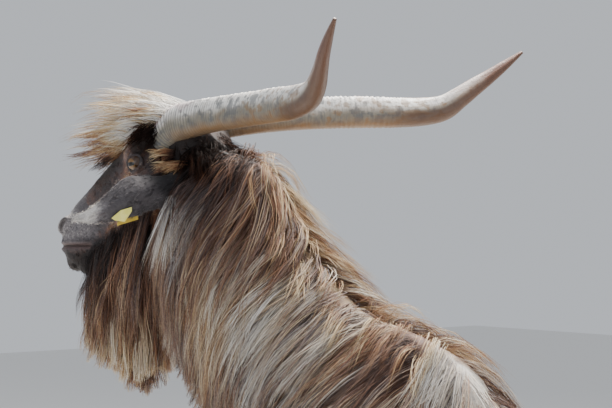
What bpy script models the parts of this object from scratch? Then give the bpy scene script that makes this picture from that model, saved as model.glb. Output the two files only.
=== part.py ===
"""A long-haired landrace buck, standing with its head turned to the left, at life size.

The goat faces -X with its left side towards -Y, and stands on the floor at z = 0.
Its solids give the outline out to the tips of the coat: the mane, beard, forelock and
skirt of hair count in the shapes that carry them. Each mass of flesh is made of lofts
and ellipsoids that a voxel remesh fuses, and is then parted into named pieces by thin
cuts. What is set into the flesh, such as a horn or an eye, has its socket cut for it.
"""

import math

import bmesh
import bpy
from mathutils import Matrix, Vector

# Driving dimensions, in metres and degrees.
GAP = 0.0004
LOOSE_GAP = 0.0012
HEAD_YAW = 23.0
HEAD_PITCH = 37.0
POLL = Vector((-0.352, -0.075, 1.1065))
FORE_FOOT_X = {"left": -0.075, "right": -0.015}
HIND_FOOT_X = {"left": 0.545, "right": 0.500}
FORE_STANCE = 0.105
HIND_STANCE = 0.115
EYE_RADIUS = 0.0140
SIDES = {"left": 1.0, "right": -1.0}

# Triangles that each fused mass keeps.
TORSO_TRIANGLES = 920
HEAD_TRIANGLES = 540
LEG_TRIANGLES = 165
TUFT_TRIANGLES = 150

UP = Vector((0, 0, 1))
FORWARD = Vector((-1, 0, 0))

# The head's level frame has X forward, Y to the goat's left and its origin at the poll.
LEVEL = Matrix.Translation(POLL) @ Matrix.Rotation(math.pi + math.radians(HEAD_YAW), 4, "Z")
# The head's own frame is the same one pitched down, so that X runs from poll to lips.
HEAD = LEVEL @ Matrix.Rotation(math.radians(HEAD_PITCH), 4, "Y")
WORLD = Matrix.Identity(4)

COLOURS = {
    "coat_brown": ((0.23, 0.13, 0.08), 0.75),
    "coat_cream": ((0.62, 0.52, 0.40), 0.75),
    "coat_grey": ((0.22, 0.19, 0.18), 0.75),
    "horn": ((0.62, 0.55, 0.44), 0.45),
    "hoof": ((0.10, 0.08, 0.07), 0.50),
    "eye": ((0.45, 0.28, 0.08), 0.10),
    "tag_yellow": ((0.85, 0.72, 0.08), 0.40),
}

collections = {}


def clear_scene():
    """Removes every object, and makes the collections for the goat and its cutters."""
    for obj in list(bpy.data.objects):
        bpy.data.objects.remove(obj, do_unlink=True)
    for name in ("Goat", "Cutters"):
        collections[name] = bpy.data.collections.new(name)
        bpy.context.scene.collection.children.link(collections[name])


def material(name):
    """The Principled material of one finish, made the first time it is asked for."""
    if name in bpy.data.materials:
        return bpy.data.materials[name]
    colour, roughness = COLOURS[name]
    made = bpy.data.materials.new(name)
    made.use_nodes = True
    shader = made.node_tree.nodes["Principled BSDF"]
    shader.inputs["Base Color"].default_value = (*colour, 1.0)
    shader.inputs["Roughness"].default_value = roughness
    return made


def new_object(name, bm, finish="coat_brown", frame=WORLD):
    """An object in the Goat collection from a bmesh given in the named frame."""
    bmesh.ops.recalc_face_normals(bm, faces=bm.faces)
    mesh = bpy.data.meshes.new(name)
    bm.to_mesh(mesh)
    bm.free()
    mesh.transform(frame)
    mesh.shade_smooth()
    mesh.materials.append(material(finish))
    obj = bpy.data.objects.new(name, mesh)
    collections["Goat"].objects.link(obj)
    return obj


def remove(obj):
    bpy.data.objects.remove(obj, do_unlink=True)


def bake_modifiers(obj):
    """Replaces an object's mesh by what its modifiers make of it."""
    bpy.context.view_layer.update()
    graph = bpy.context.evaluated_depsgraph_get()
    mesh = bpy.data.meshes.new_from_object(obj.evaluated_get(graph))
    obj.modifiers.clear()
    obj.data = mesh
    return obj


def catmull(rows, steps):
    """Rows of numbers with steps - 1 more between each two, on a Catmull-Rom curve."""
    smooth = []
    last = len(rows) - 1
    for i in range(last):
        before, start, end, after = rows[max(i - 1, 0)], rows[i], rows[i + 1], rows[min(i + 2, last)]
        for step in range(steps):
            t = step / steps
            smooth.append(
                [
                    0.5 * (2 * b + (c - a) * t + (2 * a - 5 * b + 4 * c - d) * t**2 + (3 * b - a - 3 * c + d) * t**3)
                    for a, b, c, d in zip(before, start, end, after)
                ]
            )
    return smooth + [list(rows[last])]


def loft(name, stations, hint=UP, sides=24, steps=3, ridge=0.0, pinch=0.0, power=2.0, frame=WORLD):
    """A closed tube through stations of (x, y, z, half width, rise, drop).

    Rise is the reach on the hint's side of the centre line and drop the reach on the
    other. Ridge narrows the rise side and pinch the drop side, and a power over 2
    squares the section.
    """
    rows = catmull(stations, steps)
    centres = [Vector(row[:3]) for row in rows]
    bm = bmesh.new()
    rings = []
    for i, row in enumerate(rows):
        ahead = (centres[min(i + 1, len(rows) - 1)] - centres[max(i - 1, 0)]).normalized()
        side = ahead.cross(Vector(hint)).normalized()
        up = side.cross(ahead)
        half_width, rise, drop = (max(value, 0.002) for value in row[3:6])
        ring = []
        for k in range(sides):
            angle = 2 * math.pi * k / sides
            across = math.copysign(abs(math.cos(angle)) ** (2 / power), math.cos(angle))
            along = math.copysign(abs(math.sin(angle)) ** (2 / power), math.sin(angle))
            across *= 1 - ridge * max(along, 0.0) + pinch * min(along, 0.0)
            reach = rise if along > 0 else drop
            ring.append(bm.verts.new(centres[i] + side * across * half_width + up * along * reach))
        rings.append(ring)
    for lower, upper in zip(rings, rings[1:]):
        for k in range(sides):
            bm.faces.new((lower[k], lower[(k + 1) % sides], upper[(k + 1) % sides], upper[k]))
    bm.faces.new(rings[0][::-1])
    bm.faces.new(rings[-1])
    return new_object(name, bm, frame=frame)


def ellipsoid(centre, radii, tilt=0.0, frame=WORLD, name="ellipsoid"):
    """A muscle or tuft: a sphere with its own three radii, tilted about Y in degrees."""
    shape = Matrix.Translation(centre) @ Matrix.Rotation(math.radians(tilt), 4, "Y") @ Matrix.Diagonal((*radii, 1))
    bm = bmesh.new()
    bmesh.ops.create_uvsphere(bm, u_segments=24, v_segments=14, radius=1.0, matrix=shape)
    return new_object(name, bm, frame=frame)


def fuse(name, shapes, voxel, smoothing, triangles, finish="coat_brown"):
    """One closed body from overlapping shapes: voxel remesh, smooth, then decimate."""
    bm = bmesh.new()
    for shape in shapes:
        bm.from_mesh(shape.data)
        remove(shape)
    body = new_object(name, bm, finish)
    remesh = body.modifiers.new("Remesh", "REMESH")
    remesh.mode = "VOXEL"
    remesh.voxel_size = voxel
    smooth = body.modifiers.new("Smooth", "SMOOTH")
    smooth.iterations = smoothing
    smooth.factor = 0.5
    bake_modifiers(body)
    decimate = body.modifiers.new("Decimate", "DECIMATE")
    decimate.ratio = min(1.0, triangles / (2 * len(body.data.polygons)))
    return bake_modifiers(body)


def grown(obj, gap):
    """A hidden copy of an object, larger by the gap all round, that cuts its socket."""
    cutter = bpy.data.objects.new("cut_" + obj.name, obj.data.copy())
    cutter.hide_render = True
    cutter.display_type = "WIRE"
    collections["Cutters"].objects.link(cutter)
    displace = cutter.modifiers.new("Grow", "DISPLACE")
    displace.strength = gap
    displace.mid_level = 0.0
    return bake_modifiers(cutter)


def largest_body(obj):
    """Keeps the largest connected body of an object and drops crumbs left by a cut."""
    bm = bmesh.new()
    bm.from_mesh(obj.data)
    left = set(bm.verts)
    bodies = []
    while left:
        stack = [left.pop()]
        body = set(stack)
        while stack:
            for edge in stack.pop().link_edges:
                for vert in edge.verts:
                    if vert in left:
                        left.remove(vert)
                        body.add(vert)
                        stack.append(vert)
        bodies.append(body)
    keep = max(bodies, key=len)
    bmesh.ops.delete(bm, geom=[vert for vert in bm.verts if vert not in keep], context="VERTS")
    bm.to_mesh(obj.data)
    bm.free()
    return obj


def carve(obj, *insets, gap=GAP):
    """Cuts sockets in an object for the pieces set into it."""
    for inset in insets:
        cutter = grown(inset, gap)
        modifier = obj.modifiers.new("Socket", "BOOLEAN")
        modifier.object = cutter
        modifier.operation = "DIFFERENCE"
        bake_modifiers(obj)
        remove(cutter)
    return largest_body(obj)


def part_by_planes(body, cuts):
    """Splits a body by planes of (point, normal), each taking off what is ahead of it.

    It returns the pieces in the order of the cuts, and then what remains of the body.
    """
    pieces = []
    for point, normal in cuts:
        normal = Vector(normal).normalized()
        piece = bpy.data.objects.new(body.name + "_piece", body.data.copy())
        collections["Goat"].objects.link(piece)
        for obj, direction in ((piece, normal), (body, -normal)):
            bm = bmesh.new()
            bm.from_mesh(obj.data)
            bmesh.ops.bisect_plane(
                bm,
                geom=bm.verts[:] + bm.edges[:] + bm.faces[:],
                plane_co=Vector(point) + direction * GAP / 2,
                plane_no=direction,
                clear_inner=True,
            )
            bmesh.ops.holes_fill(bm, edges=[edge for edge in bm.edges if edge.is_boundary])
            bmesh.ops.triangulate(bm, faces=[face for face in bm.faces if len(face.verts) > 4])
            bm.to_mesh(obj.data)
            bm.free()
            largest_body(obj)
        pieces.append(piece)
    return pieces + [body]


def rename(obj, name, finish):
    """Gives a finished piece its node name and material."""
    obj.name = name
    obj.data.name = name
    obj.data.materials.clear()
    obj.data.materials.append(material(finish))
    return obj


# The torso: trunk, neck, mane and haunches.

# x, top, bottom and half width of the trunk, from brisket to pin bones, coat included.
TRUNK = (
    (-0.245, 0.600, 0.500, 0.050),
    (-0.215, 0.680, 0.425, 0.105),
    (-0.150, 0.760, 0.370, 0.150),
    (-0.070, 0.830, 0.342, 0.178),
    (0.000, 0.856, 0.332, 0.190),
    (0.060, 0.832, 0.328, 0.197),
    (0.120, 0.781, 0.328, 0.202),
    (0.180, 0.741, 0.332, 0.205),
    (0.240, 0.720, 0.336, 0.207),
    (0.310, 0.709, 0.342, 0.205),
    (0.400, 0.706, 0.348, 0.200),
    (0.480, 0.709, 0.356, 0.190),
    (0.550, 0.701, 0.378, 0.170),
    (0.605, 0.668, 0.415, 0.138),
    (0.650, 0.605, 0.480, 0.080),
)
# x, y, z, half width, reach to the crest and reach to the throat of the neck.
NECK = (
    (0.050, 0.000, 0.600, 0.180, 0.190, 0.200),
    (-0.060, -0.004, 0.710, 0.172, 0.150, 0.205),
    (-0.150, -0.024, 0.815, 0.150, 0.120, 0.200),
    (-0.235, -0.048, 0.915, 0.126, 0.114, 0.185),
    (-0.295, -0.064, 0.990, 0.100, 0.102, 0.148),
    (-0.328, -0.072, 1.028, 0.078, 0.080, 0.100),
)
# Where the torso is parted: a point and the direction of the piece taken off.
NECK_TOP_CUT = ((-0.215, -0.040, 0.880), (-0.66, -0.18, 0.73))
NECK_BASE_CUT = ((-0.090, -0.008, 0.750), (-0.68, -0.05, 0.73))
SHOULDER_CUT = ((0.135, 0.000, 0.500), (-1, 0, 0))
RUMP_CUT = ((0.320, 0.000, 0.500), (1, 0, 0))


def build_torso():
    """The trunk and the neck with its mane, fused into one body."""
    trunk = [(x, 0.0, (top + low) / 2, width, (top - low) / 2, (top - low) / 2) for x, top, low, width in TRUNK]
    shapes = [
        loft("trunk", trunk, sides=32, ridge=0.50, power=2.15),
        loft("neck", NECK, sides=28, ridge=0.40, power=2.1),
        ellipsoid((-0.015, 0.0, 0.745), (0.14, 0.080, 0.122), tilt=28, name="withers_mane"),
        ellipsoid((-0.236, -0.052, 1.000), (0.098, 0.066, 0.092), tilt=35, name="nape_mane"),
    ]
    for side, sign in SIDES.items():
        y = -sign
        shapes += [
            ellipsoid((-0.075, y * 0.105, 0.560), (0.115, 0.078, 0.185), tilt=-16, name="shoulder_" + side),
            ellipsoid((0.500, y * 0.105, 0.528), (0.125, 0.078, 0.165), tilt=-12, name="haunch_" + side),
            ellipsoid((0.555, y * 0.095, 0.430), (0.060, 0.050, 0.100), tilt=-8, name="thigh_hair_" + side),
        ]
    return fuse("torso", shapes, voxel=0.009, smoothing=8, triangles=TORSO_TRIANGLES)


def part_torso(torso):
    """Cuts the torso into neck, shoulders, barrel and rump, and returns them by name."""
    neck_upper, neck_lower, shoulders, rump, barrel = part_by_planes(
        torso, (NECK_TOP_CUT, NECK_BASE_CUT, SHOULDER_CUT, RUMP_CUT)
    )
    return {
        "neck_upper": rename(neck_upper, "neck_upper", "coat_brown"),
        "neck_lower": rename(neck_lower, "neck_lower", "coat_cream"),
        "shoulders": rename(shoulders, "shoulders", "coat_cream"),
        "barrel": rename(barrel, "barrel", "coat_brown"),
        "rump": rename(rump, "rump", "coat_cream"),
    }


# The head, in its own frame: X from the poll to the lips, Z square to that line.

# x, top, bottom and half width of the skull and muzzle.
SKULL = (
    (-0.035, -0.012, -0.072, 0.030),
    (-0.015, 0.006, -0.092, 0.046),
    (0.020, 0.021, -0.106, 0.054),
    (0.060, 0.034, -0.112, 0.057),
    (0.095, 0.039, -0.108, 0.056),
    (0.130, 0.037, -0.100, 0.049),
    (0.165, 0.034, -0.092, 0.041),
    (0.200, 0.030, -0.086, 0.035),
    (0.230, 0.027, -0.081, 0.032),
    (0.252, 0.020, -0.078, 0.031),
    (0.270, 0.008, -0.076, 0.029),
    (0.284, -0.007, -0.068, 0.024),
    (0.294, -0.020, -0.050, 0.011),
)
EYE_PLACE = Vector((0.084, 0.0500, -0.009))
MOUTH_FRONT = Vector((0.292, 0.0, -0.011))
MOUTH_CORNER = Vector((0.222, 0.0, -0.052))
# x, y and z from the head's poll, with the three radii, of what stands out on one side.
FACE_SIDE_FORMS = (
    ("brow", (0.072, 0.045, 0.009), (0.032, 0.016, 0.016)),
    ("cheekbone", (0.092, 0.041, -0.032), (0.042, 0.016, 0.012)),
    ("jowl", (0.052, 0.034, -0.064), (0.046, 0.020, 0.036)),
    ("nostril", (0.254, 0.019, 0.002), (0.021, 0.014, 0.016)),
    ("lip", (0.268, 0.013, -0.021), (0.030, 0.014, 0.013)),
)


def build_head():
    """The skull and face, fused, in world space."""
    skull = [(x, 0.0, (top + low) / 2, width, (top - low) / 2, (top - low) / 2) for x, top, low, width in SKULL]
    shapes = [
        loft("skull", skull, sides=28, pinch=0.30, power=2.3, frame=HEAD),
        ellipsoid((0.050, 0.0, 0.022), (0.052, 0.038, 0.022), frame=HEAD, name="forehead"),
        ellipsoid((0.263, 0.0, -0.058), (0.027, 0.024, 0.024), frame=HEAD, name="chin"),
    ]
    for side, sign in SIDES.items():
        for name, (x, y, z), radii in FACE_SIDE_FORMS:
            shapes.append(ellipsoid((x, sign * y, z), radii, frame=HEAD, name=f"{name}_{side}"))
    return fuse("head", shapes, voxel=0.0035, smoothing=5, triangles=HEAD_TRIANGLES, finish="coat_grey")


def build_eyes():
    """Two globes, turned as goats' eyes are, a little forward of straight out."""
    eyes = {}
    for side, sign in SIDES.items():
        bm = bmesh.new()
        bmesh.ops.create_uvsphere(bm, u_segments=10, v_segments=6, radius=EYE_RADIUS)
        place = Vector((EYE_PLACE.x, sign * EYE_PLACE.y, EYE_PLACE.z))
        eyes[side] = new_object("eye_" + side, bm, "eye", HEAD @ Matrix.Translation(place))
    return eyes


# Horns, in the level frame: back, out and up from the poll, then the blade's depth and
# thickness, and how far it has turned, from 0 where it stands on edge to 1 at the tip.
HORN = (
    (-0.036, 0.027, -0.034, 0.056, 0.036, 0.00),
    (-0.014, 0.034, -0.008, 0.057, 0.038, 0.00),
    (0.012, 0.042, 0.003, 0.055, 0.037, 0.00),
    (0.058, 0.055, 0.010, 0.051, 0.034, 0.00),
    (0.112, 0.072, 0.015, 0.049, 0.032, 0.05),
    (0.162, 0.095, 0.018, 0.048, 0.031, 0.12),
    (0.213, 0.130, 0.020, 0.048, 0.030, 0.25),
    (0.258, 0.172, 0.020, 0.046, 0.029, 0.50),
    (0.291, 0.205, 0.022, 0.043, 0.028, 0.75),
    (0.316, 0.225, 0.028, 0.039, 0.026, 0.90),
    (0.334, 0.242, 0.043, 0.033, 0.023, 1.00),
    (0.350, 0.263, 0.060, 0.028, 0.018, 1.00),
    (0.366, 0.286, 0.077, 0.022, 0.015, 1.00),
    (0.384, 0.308, 0.096, 0.015, 0.011, 1.00),
    (0.404, 0.330, 0.117, 0.005, 0.005, 1.00),
)
HORN_KEEL = 0.28
HORN_SIDES = 10
EDGE_AT_BASE = Vector((0.0, 0.0, 1.0))
EDGE_AT_TIP = Vector((0.527, -0.268, 0.807))


def build_horn(side):
    """One horn: a blade with a keel on its leading edge, curving back, out and up."""
    sign = SIDES[side]
    rows = catmull(HORN, 2)
    centres = [Vector((-row[0], sign * row[1], row[2])) for row in rows]
    bm = bmesh.new()
    rings = []
    for i, (centre, row) in enumerate(zip(centres, rows)):
        ahead = (centres[min(i + 1, len(rows) - 1)] - centres[max(i - 1, 0)]).normalized()
        edge = EDGE_AT_BASE.lerp(Vector((EDGE_AT_TIP.x, sign * EDGE_AT_TIP.y, EDGE_AT_TIP.z)), row[5])
        thick = ahead.cross(edge).normalized()
        edge = thick.cross(ahead)
        ring = []
        for k in range(HORN_SIDES):
            angle = 2 * math.pi * k / HORN_SIDES
            keel = 1 - HORN_KEEL * math.cos(angle)
            ring.append(
                bm.verts.new(
                    centre
                    + edge * row[3] / 2 * math.cos(angle)
                    + thick * row[4] / 2 * math.sin(angle) * keel
                )
            )
        rings.append(ring)
    for lower, upper in zip(rings, rings[1:]):
        for k in range(HORN_SIDES):
            bm.faces.new((lower[k], lower[(k + 1) % HORN_SIDES], upper[(k + 1) % HORN_SIDES], upper[k]))
    bm.faces.new(rings[0][::-1])
    bm.faces.new(rings[-1])
    return new_object("horn_" + side, bm, "horn", LEVEL)


# Ears, in the level frame: x, y and z of the middle rib, half width and curl in degrees.
EAR = (
    (-0.018, 0.044, -0.068, 0.028, 240.0),
    (-0.015, 0.068, -0.084, 0.033, 200.0),
    (-0.005, 0.089, -0.095, 0.034, 150.0),
    (0.010, 0.108, -0.100, 0.031, 115.0),
    (0.022, 0.124, -0.105, 0.032, 85.0),
    (0.048, 0.145, -0.124, 0.021, 70.0),
    (0.071, 0.159, -0.135, 0.011, 55.0),
    (0.094, 0.171, -0.139, 0.003, 30.0),
)
EAR_BACK = Vector((-0.454, 0.891, 0.10))
EAR_THICKNESS = 0.0050
EAR_COLUMNS = 5


def ear_leaf(side):
    """A function of (row, share) giving a point of the ear's leaf and its outward normal.

    Row runs from 0 at the root to len(EAR) - 1 at the tip, and share from -0.5 at the
    lower edge to 0.5 at the upper one.
    """
    sign = SIDES[side]
    rows = catmull(EAR, 4)
    points = [Vector((row[0], sign * row[1], row[2])) for row in rows]

    def at(row, share):
        i = round(row * 4)
        along = (points[min(i + 1, len(points) - 1)] - points[max(i - 1, 0)]).normalized()
        behind = Vector((EAR_BACK.x, sign * EAR_BACK.y, EAR_BACK.z))
        across = along.cross(behind).normalized() * sign
        behind = across.cross(along) * sign
        curl = math.radians(rows[i][4])
        radius = 2 * max(rows[i][3], 0.003) / curl
        turn = curl * share
        point = points[i] + across * radius * math.sin(turn) - behind * radius * (1 - math.cos(turn))
        return point, across * math.sin(turn) + behind * math.cos(turn)

    return at


def build_ear(side):
    """One ear: a leaf that is rolled at its root, and opens forwards and down."""
    at = ear_leaf(side)
    bm = bmesh.new()
    grid = []
    for half_row in range(2 * len(EAR) - 1):
        shares = [k / EAR_COLUMNS - 0.5 for k in range(EAR_COLUMNS + 1)]
        grid.append([bm.verts.new(at(half_row / 2, share)[0]) for share in shares])
    for lower, upper in zip(grid, grid[1:]):
        for k in range(EAR_COLUMNS):
            bm.faces.new((lower[k], lower[k + 1], upper[k + 1], upper[k]))
    ear = new_object("ear_" + side, bm, "coat_grey", LEVEL)
    shell = ear.modifiers.new("Thickness", "SOLIDIFY")
    shell.thickness = EAR_THICKNESS
    shell.offset = 0.0
    return bake_modifiers(ear)


# The ear tag, on the left ear. Its outlines run towards the ear's tip and up, from the pin.
TAG_ROW = 4.75
TAG_SHARE = -0.33
TAG_ALONG = Vector((0.86, 0.50, -0.10))
TAG_PLATE = (
    (0.016, -0.002),
    (0.003, 0.0075),
    (-0.0135, 0.010),
    (-0.014, 0.004),
    (-0.004, -0.0105),
    (0.011, -0.006),
)
TAG_STRIP = ((0.006, 0.006), (0.004, -0.018), (-0.027, -0.0135), (-0.026, -0.004), (-0.006, 0.006))
TAG_THICKNESS = 0.0018
TAG_PLATE_LIFT = 0.0050
TAG_STRIP_LIFT = 0.0080
TAG_PIN_RADIUS = 0.0028


def flat_plate(name, outline, place, along, normal, finish="tag_yellow"):
    """A flat tag plate: a closed 2D outline extruded by its thickness."""
    curve = bpy.data.curves.new(name, "CURVE")
    curve.dimensions = "2D"
    curve.fill_mode = "BOTH"
    curve.extrude = TAG_THICKNESS / 2
    spline = curve.splines.new("POLY")
    spline.points.add(len(outline) - 1)
    for point, (x, y) in zip(spline.points, outline):
        point.co = (x, y, 0.0, 1.0)
    spline.use_cyclic_u = True
    obj = bpy.data.objects.new(name, curve)
    collections["Goat"].objects.link(obj)
    mesh = bpy.data.meshes.new_from_object(obj.evaluated_get(bpy.context.evaluated_depsgraph_get()))
    remove(obj)
    bm = bmesh.new()
    bm.from_mesh(mesh)
    bmesh.ops.remove_doubles(bm, verts=bm.verts, dist=1e-5)
    across = UP - normal * UP.dot(normal)
    across.normalize()
    along = (along - normal * along.dot(normal)).normalized()
    turn = Matrix((along, across, along.cross(across))).transposed().to_4x4()
    return new_object(name, bm, finish, LEVEL @ Matrix.Translation(place) @ turn)


def build_tag():
    """The tag's plate behind the ear, its strip inside it, and the pin through both."""
    place, normal = ear_leaf("left")(TAG_ROW, TAG_SHARE)
    plate = flat_plate("tag_plate", TAG_PLATE, place + normal * TAG_PLATE_LIFT, TAG_ALONG, normal)
    strip = flat_plate("tag_strip", TAG_STRIP, place - normal * TAG_STRIP_LIFT, TAG_ALONG, normal)
    reach = TAG_PLATE_LIFT + TAG_STRIP_LIFT - TAG_THICKNESS - 2 * GAP
    middle = place + normal * (TAG_PLATE_LIFT - TAG_STRIP_LIFT) / 2
    bm = bmesh.new()
    bmesh.ops.create_cone(
        bm, cap_ends=True, segments=12, radius1=TAG_PIN_RADIUS, radius2=TAG_PIN_RADIUS, depth=reach
    )
    turn = normal.to_track_quat("Z", "Y").to_matrix().to_4x4()
    pin = new_object("tag_pin", bm, "tag_yellow", LEVEL @ Matrix.Translation(middle) @ turn)
    return plate, strip, pin


# The forelock and the beard, in the level frame.
FORELOCK_FORMS = (
    ((0.102, 0.0, 0.002), (0.078, 0.060, 0.058), 0.0),
    ((0.150, 0.0, -0.022), (0.060, 0.052, 0.062), 12.0),
    ((0.050, 0.0, 0.005), (0.060, 0.046, 0.034), -8.0),
)
BEARD_FORMS = (
    ((0.146, 0.0, -0.238), (0.042, 0.034, 0.060), -8.0),
    ((0.148, 0.0, -0.302), (0.056, 0.036, 0.048), -30.0),
    ((0.115, 0.0, -0.255), (0.066, 0.046, 0.090), -12.0),
    ((0.080, 0.0, -0.320), (0.060, 0.042, 0.070), -20.0),
)


def build_tuft(name, forms, finish):
    """A mass of long hair on the head, fused from a few ellipsoids."""
    shapes = [ellipsoid(centre, radii, tilt, LEVEL, name) for centre, radii, tilt in forms]
    return fuse(name, shapes, voxel=0.006, smoothing=4, triangles=TUFT_TRIANGLES, finish=finish)


# Legs: x from the foot, z, half width, reach forward and reach back, from the top down.
FORELEG = (
    (0.050, 0.500, 0.052, 0.055, 0.060),
    (0.042, 0.440, 0.048, 0.050, 0.056),
    (0.030, 0.370, 0.037, 0.038, 0.042),
    (0.022, 0.310, 0.0275, 0.029, 0.029),
    (0.019, 0.275, 0.0285, 0.031, 0.027),
    (0.018, 0.240, 0.0225, 0.022, 0.024),
    (0.020, 0.170, 0.0180, 0.019, 0.021),
    (0.020, 0.115, 0.0190, 0.020, 0.024),
    (0.016, 0.088, 0.0240, 0.023, 0.027),
    (0.010, 0.060, 0.0235, 0.023, 0.024),
    (0.006, 0.036, 0.0255, 0.028, 0.028),
)
HINDLEG = (
    (-0.085, 0.500, 0.058, 0.080, 0.075),
    (-0.060, 0.440, 0.050, 0.066, 0.064),
    (-0.016, 0.380, 0.038, 0.046, 0.046),
    (0.030, 0.330, 0.0280, 0.033, 0.032),
    (0.047, 0.290, 0.0265, 0.031, 0.036),
    (0.046, 0.250, 0.0225, 0.025, 0.027),
    (0.036, 0.180, 0.0185, 0.020, 0.022),
    (0.028, 0.118, 0.0190, 0.021, 0.024),
    (0.020, 0.088, 0.0240, 0.023, 0.027),
    (0.012, 0.060, 0.0235, 0.023, 0.024),
    (0.006, 0.036, 0.0255, 0.028, 0.028),
)
KNEE_CUT = 0.292
HOCK_CUT = 0.318
FETLOCK_CUT = 0.120


def build_leg(name, stations, foot_x, foot_y, joint_height):
    """A leg parted at the knee or hock and above the fetlock."""
    rows = [(foot_x + x, foot_y, z, width, fore, aft) for x, z, width, fore, aft in stations]
    leg = loft(name, rows, hint=FORWARD, sides=16, steps=2, power=2.1)
    leg = fuse(name, [leg], voxel=0.005, smoothing=3, triangles=LEG_TRIANGLES, finish="coat_grey")
    foot = (foot_x, foot_y, FETLOCK_CUT)
    joint = (foot_x, foot_y, joint_height)
    upper, cannon, pastern = part_by_planes(leg, ((joint, (0, 0, 1)), (foot, (0, 0, 1))))
    return (
        rename(upper, name + "_upper", "coat_brown"),
        rename(cannon, name + "_cannon", "coat_grey"),
        rename(pastern, name + "_pastern", "coat_grey"),
    )


# One claw of a hoof: x and half width along the sole, from toe to heel.
CLAW_SOLE = ((0.041, 0.0026), (0.034, 0.0088), (0.015, 0.0124), (-0.010, 0.0126), (-0.026, 0.0094), (-0.031, 0.0044))
CLAW_SPLIT = 0.0010
CLAW_HEIGHT = 0.050
# A dewclaw's place behind and beside the foot and above the floor, and its size.
DEWCLAW_PLACE = Vector((0.040, 0.014, 0.070))
DEWCLAW_BASE_RADIUS = 0.0085
DEWCLAW_TIP_RADIUS = 0.0040
DEWCLAW_LENGTH = 0.022
DEWCLAW_TILT = -150.0
DEWCLAW_SPLAY = 14.0


def build_claw(name, foot_x, foot_y, outward):
    """A claw with a flat sole, a straight inner wall and a toe that slopes back to the coronet."""
    levels = ((0.0, 1.00, 0.000), (0.012, 1.00, 0.002), (0.030, 0.88, 0.006), (CLAW_HEIGHT, 0.66, 0.011))
    bm = bmesh.new()
    rings = []
    for height, scale, shift in levels:
        inner = CLAW_SPLIT
        outer = [(x * scale - shift, inner + 2 * half * (0.55 + 0.45 * scale)) for x, half in CLAW_SOLE]
        line = [(outer[0][0], inner), *outer, (outer[-1][0], inner)]
        rings.append([bm.verts.new((foot_x - x, foot_y + outward * y, height)) for x, y in line])
    count = len(rings[0])
    for lower, upper in zip(rings, rings[1:]):
        for k in range(count):
            bm.faces.new((lower[k], lower[(k + 1) % count], upper[(k + 1) % count], upper[k]))
    bm.faces.new(rings[0][::-1])
    bm.faces.new(rings[-1])
    return new_object(name, bm, "hoof")


def build_dewclaw(name, place, outward):
    """A small blunt claw behind the fetlock."""
    bm = bmesh.new()
    bmesh.ops.create_cone(
        bm,
        cap_ends=True,
        segments=8,
        radius1=DEWCLAW_BASE_RADIUS,
        radius2=DEWCLAW_TIP_RADIUS,
        depth=DEWCLAW_LENGTH,
    )
    tilt = Matrix.Rotation(math.radians(DEWCLAW_TILT), 4, "Y")
    turn = tilt @ Matrix.Rotation(outward * math.radians(DEWCLAW_SPLAY), 4, "X")
    return new_object(name, bm, "hoof", Matrix.Translation(place) @ turn)


def build_foot(name, foot_x, foot_y, pastern):
    """Two claws and two dewclaws, and the sockets for them in the pastern."""
    for label, outward in (("near", -1.0), ("off", 1.0)):
        claw = build_claw(f"{name}_claw_{label}", foot_x, foot_y, outward)
        x, y, z = DEWCLAW_PLACE
        place = Vector((foot_x + x, foot_y + outward * y, z))
        dewclaw = build_dewclaw(f"{name}_dewclaw_{label}", place, outward)
        carve(pastern, claw, dewclaw)


def build_legs(torso_pieces):
    """Four legs with their feet, each let into the piece of the trunk above it."""
    rows = (
        ("foreleg", FORELEG, FORE_FOOT_X, FORE_STANCE, KNEE_CUT, "shoulders"),
        ("hindleg", HINDLEG, HIND_FOOT_X, HIND_STANCE, HOCK_CUT, "rump"),
    )
    for kind, stations, foot_x, stance, joint_height, socket in rows:
        for side, sign in SIDES.items():
            name = f"{kind}_{side}"
            foot_y = -sign * stance
            upper, _, pastern = build_leg(name, stations, foot_x[side], foot_y, joint_height)
            build_foot(name, foot_x[side], foot_y, pastern)
            carve(torso_pieces[socket], upper, gap=LOOSE_GAP)


TAIL = (
    (0.560, 0.0, 0.655, 0.022, 0.022, 0.022),
    (0.615, 0.0, 0.690, 0.032, 0.024, 0.028),
    (0.652, 0.0, 0.730, 0.038, 0.024, 0.036),
    (0.674, 0.0, 0.775, 0.032, 0.020, 0.036),
    (0.680, 0.0, 0.818, 0.010, 0.010, 0.016),
)


def build_tail():
    """A short tail carried up, with its fringe."""
    return loft("tail", TAIL, sides=10, steps=2)


def stand_at_origin():
    """Moves the goat so that the middle of its box is over the origin."""
    goat = collections["Goat"].objects
    points = [vert.co for obj in goat for vert in obj.data.vertices]
    middle = Vector(
        (
            (min(p.x for p in points) + max(p.x for p in points)) / 2,
            (min(p.y for p in points) + max(p.y for p in points)) / 2,
            min(p.z for p in points),
        )
    )
    for obj in goat:
        obj.data.transform(Matrix.Translation(-middle))


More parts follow.
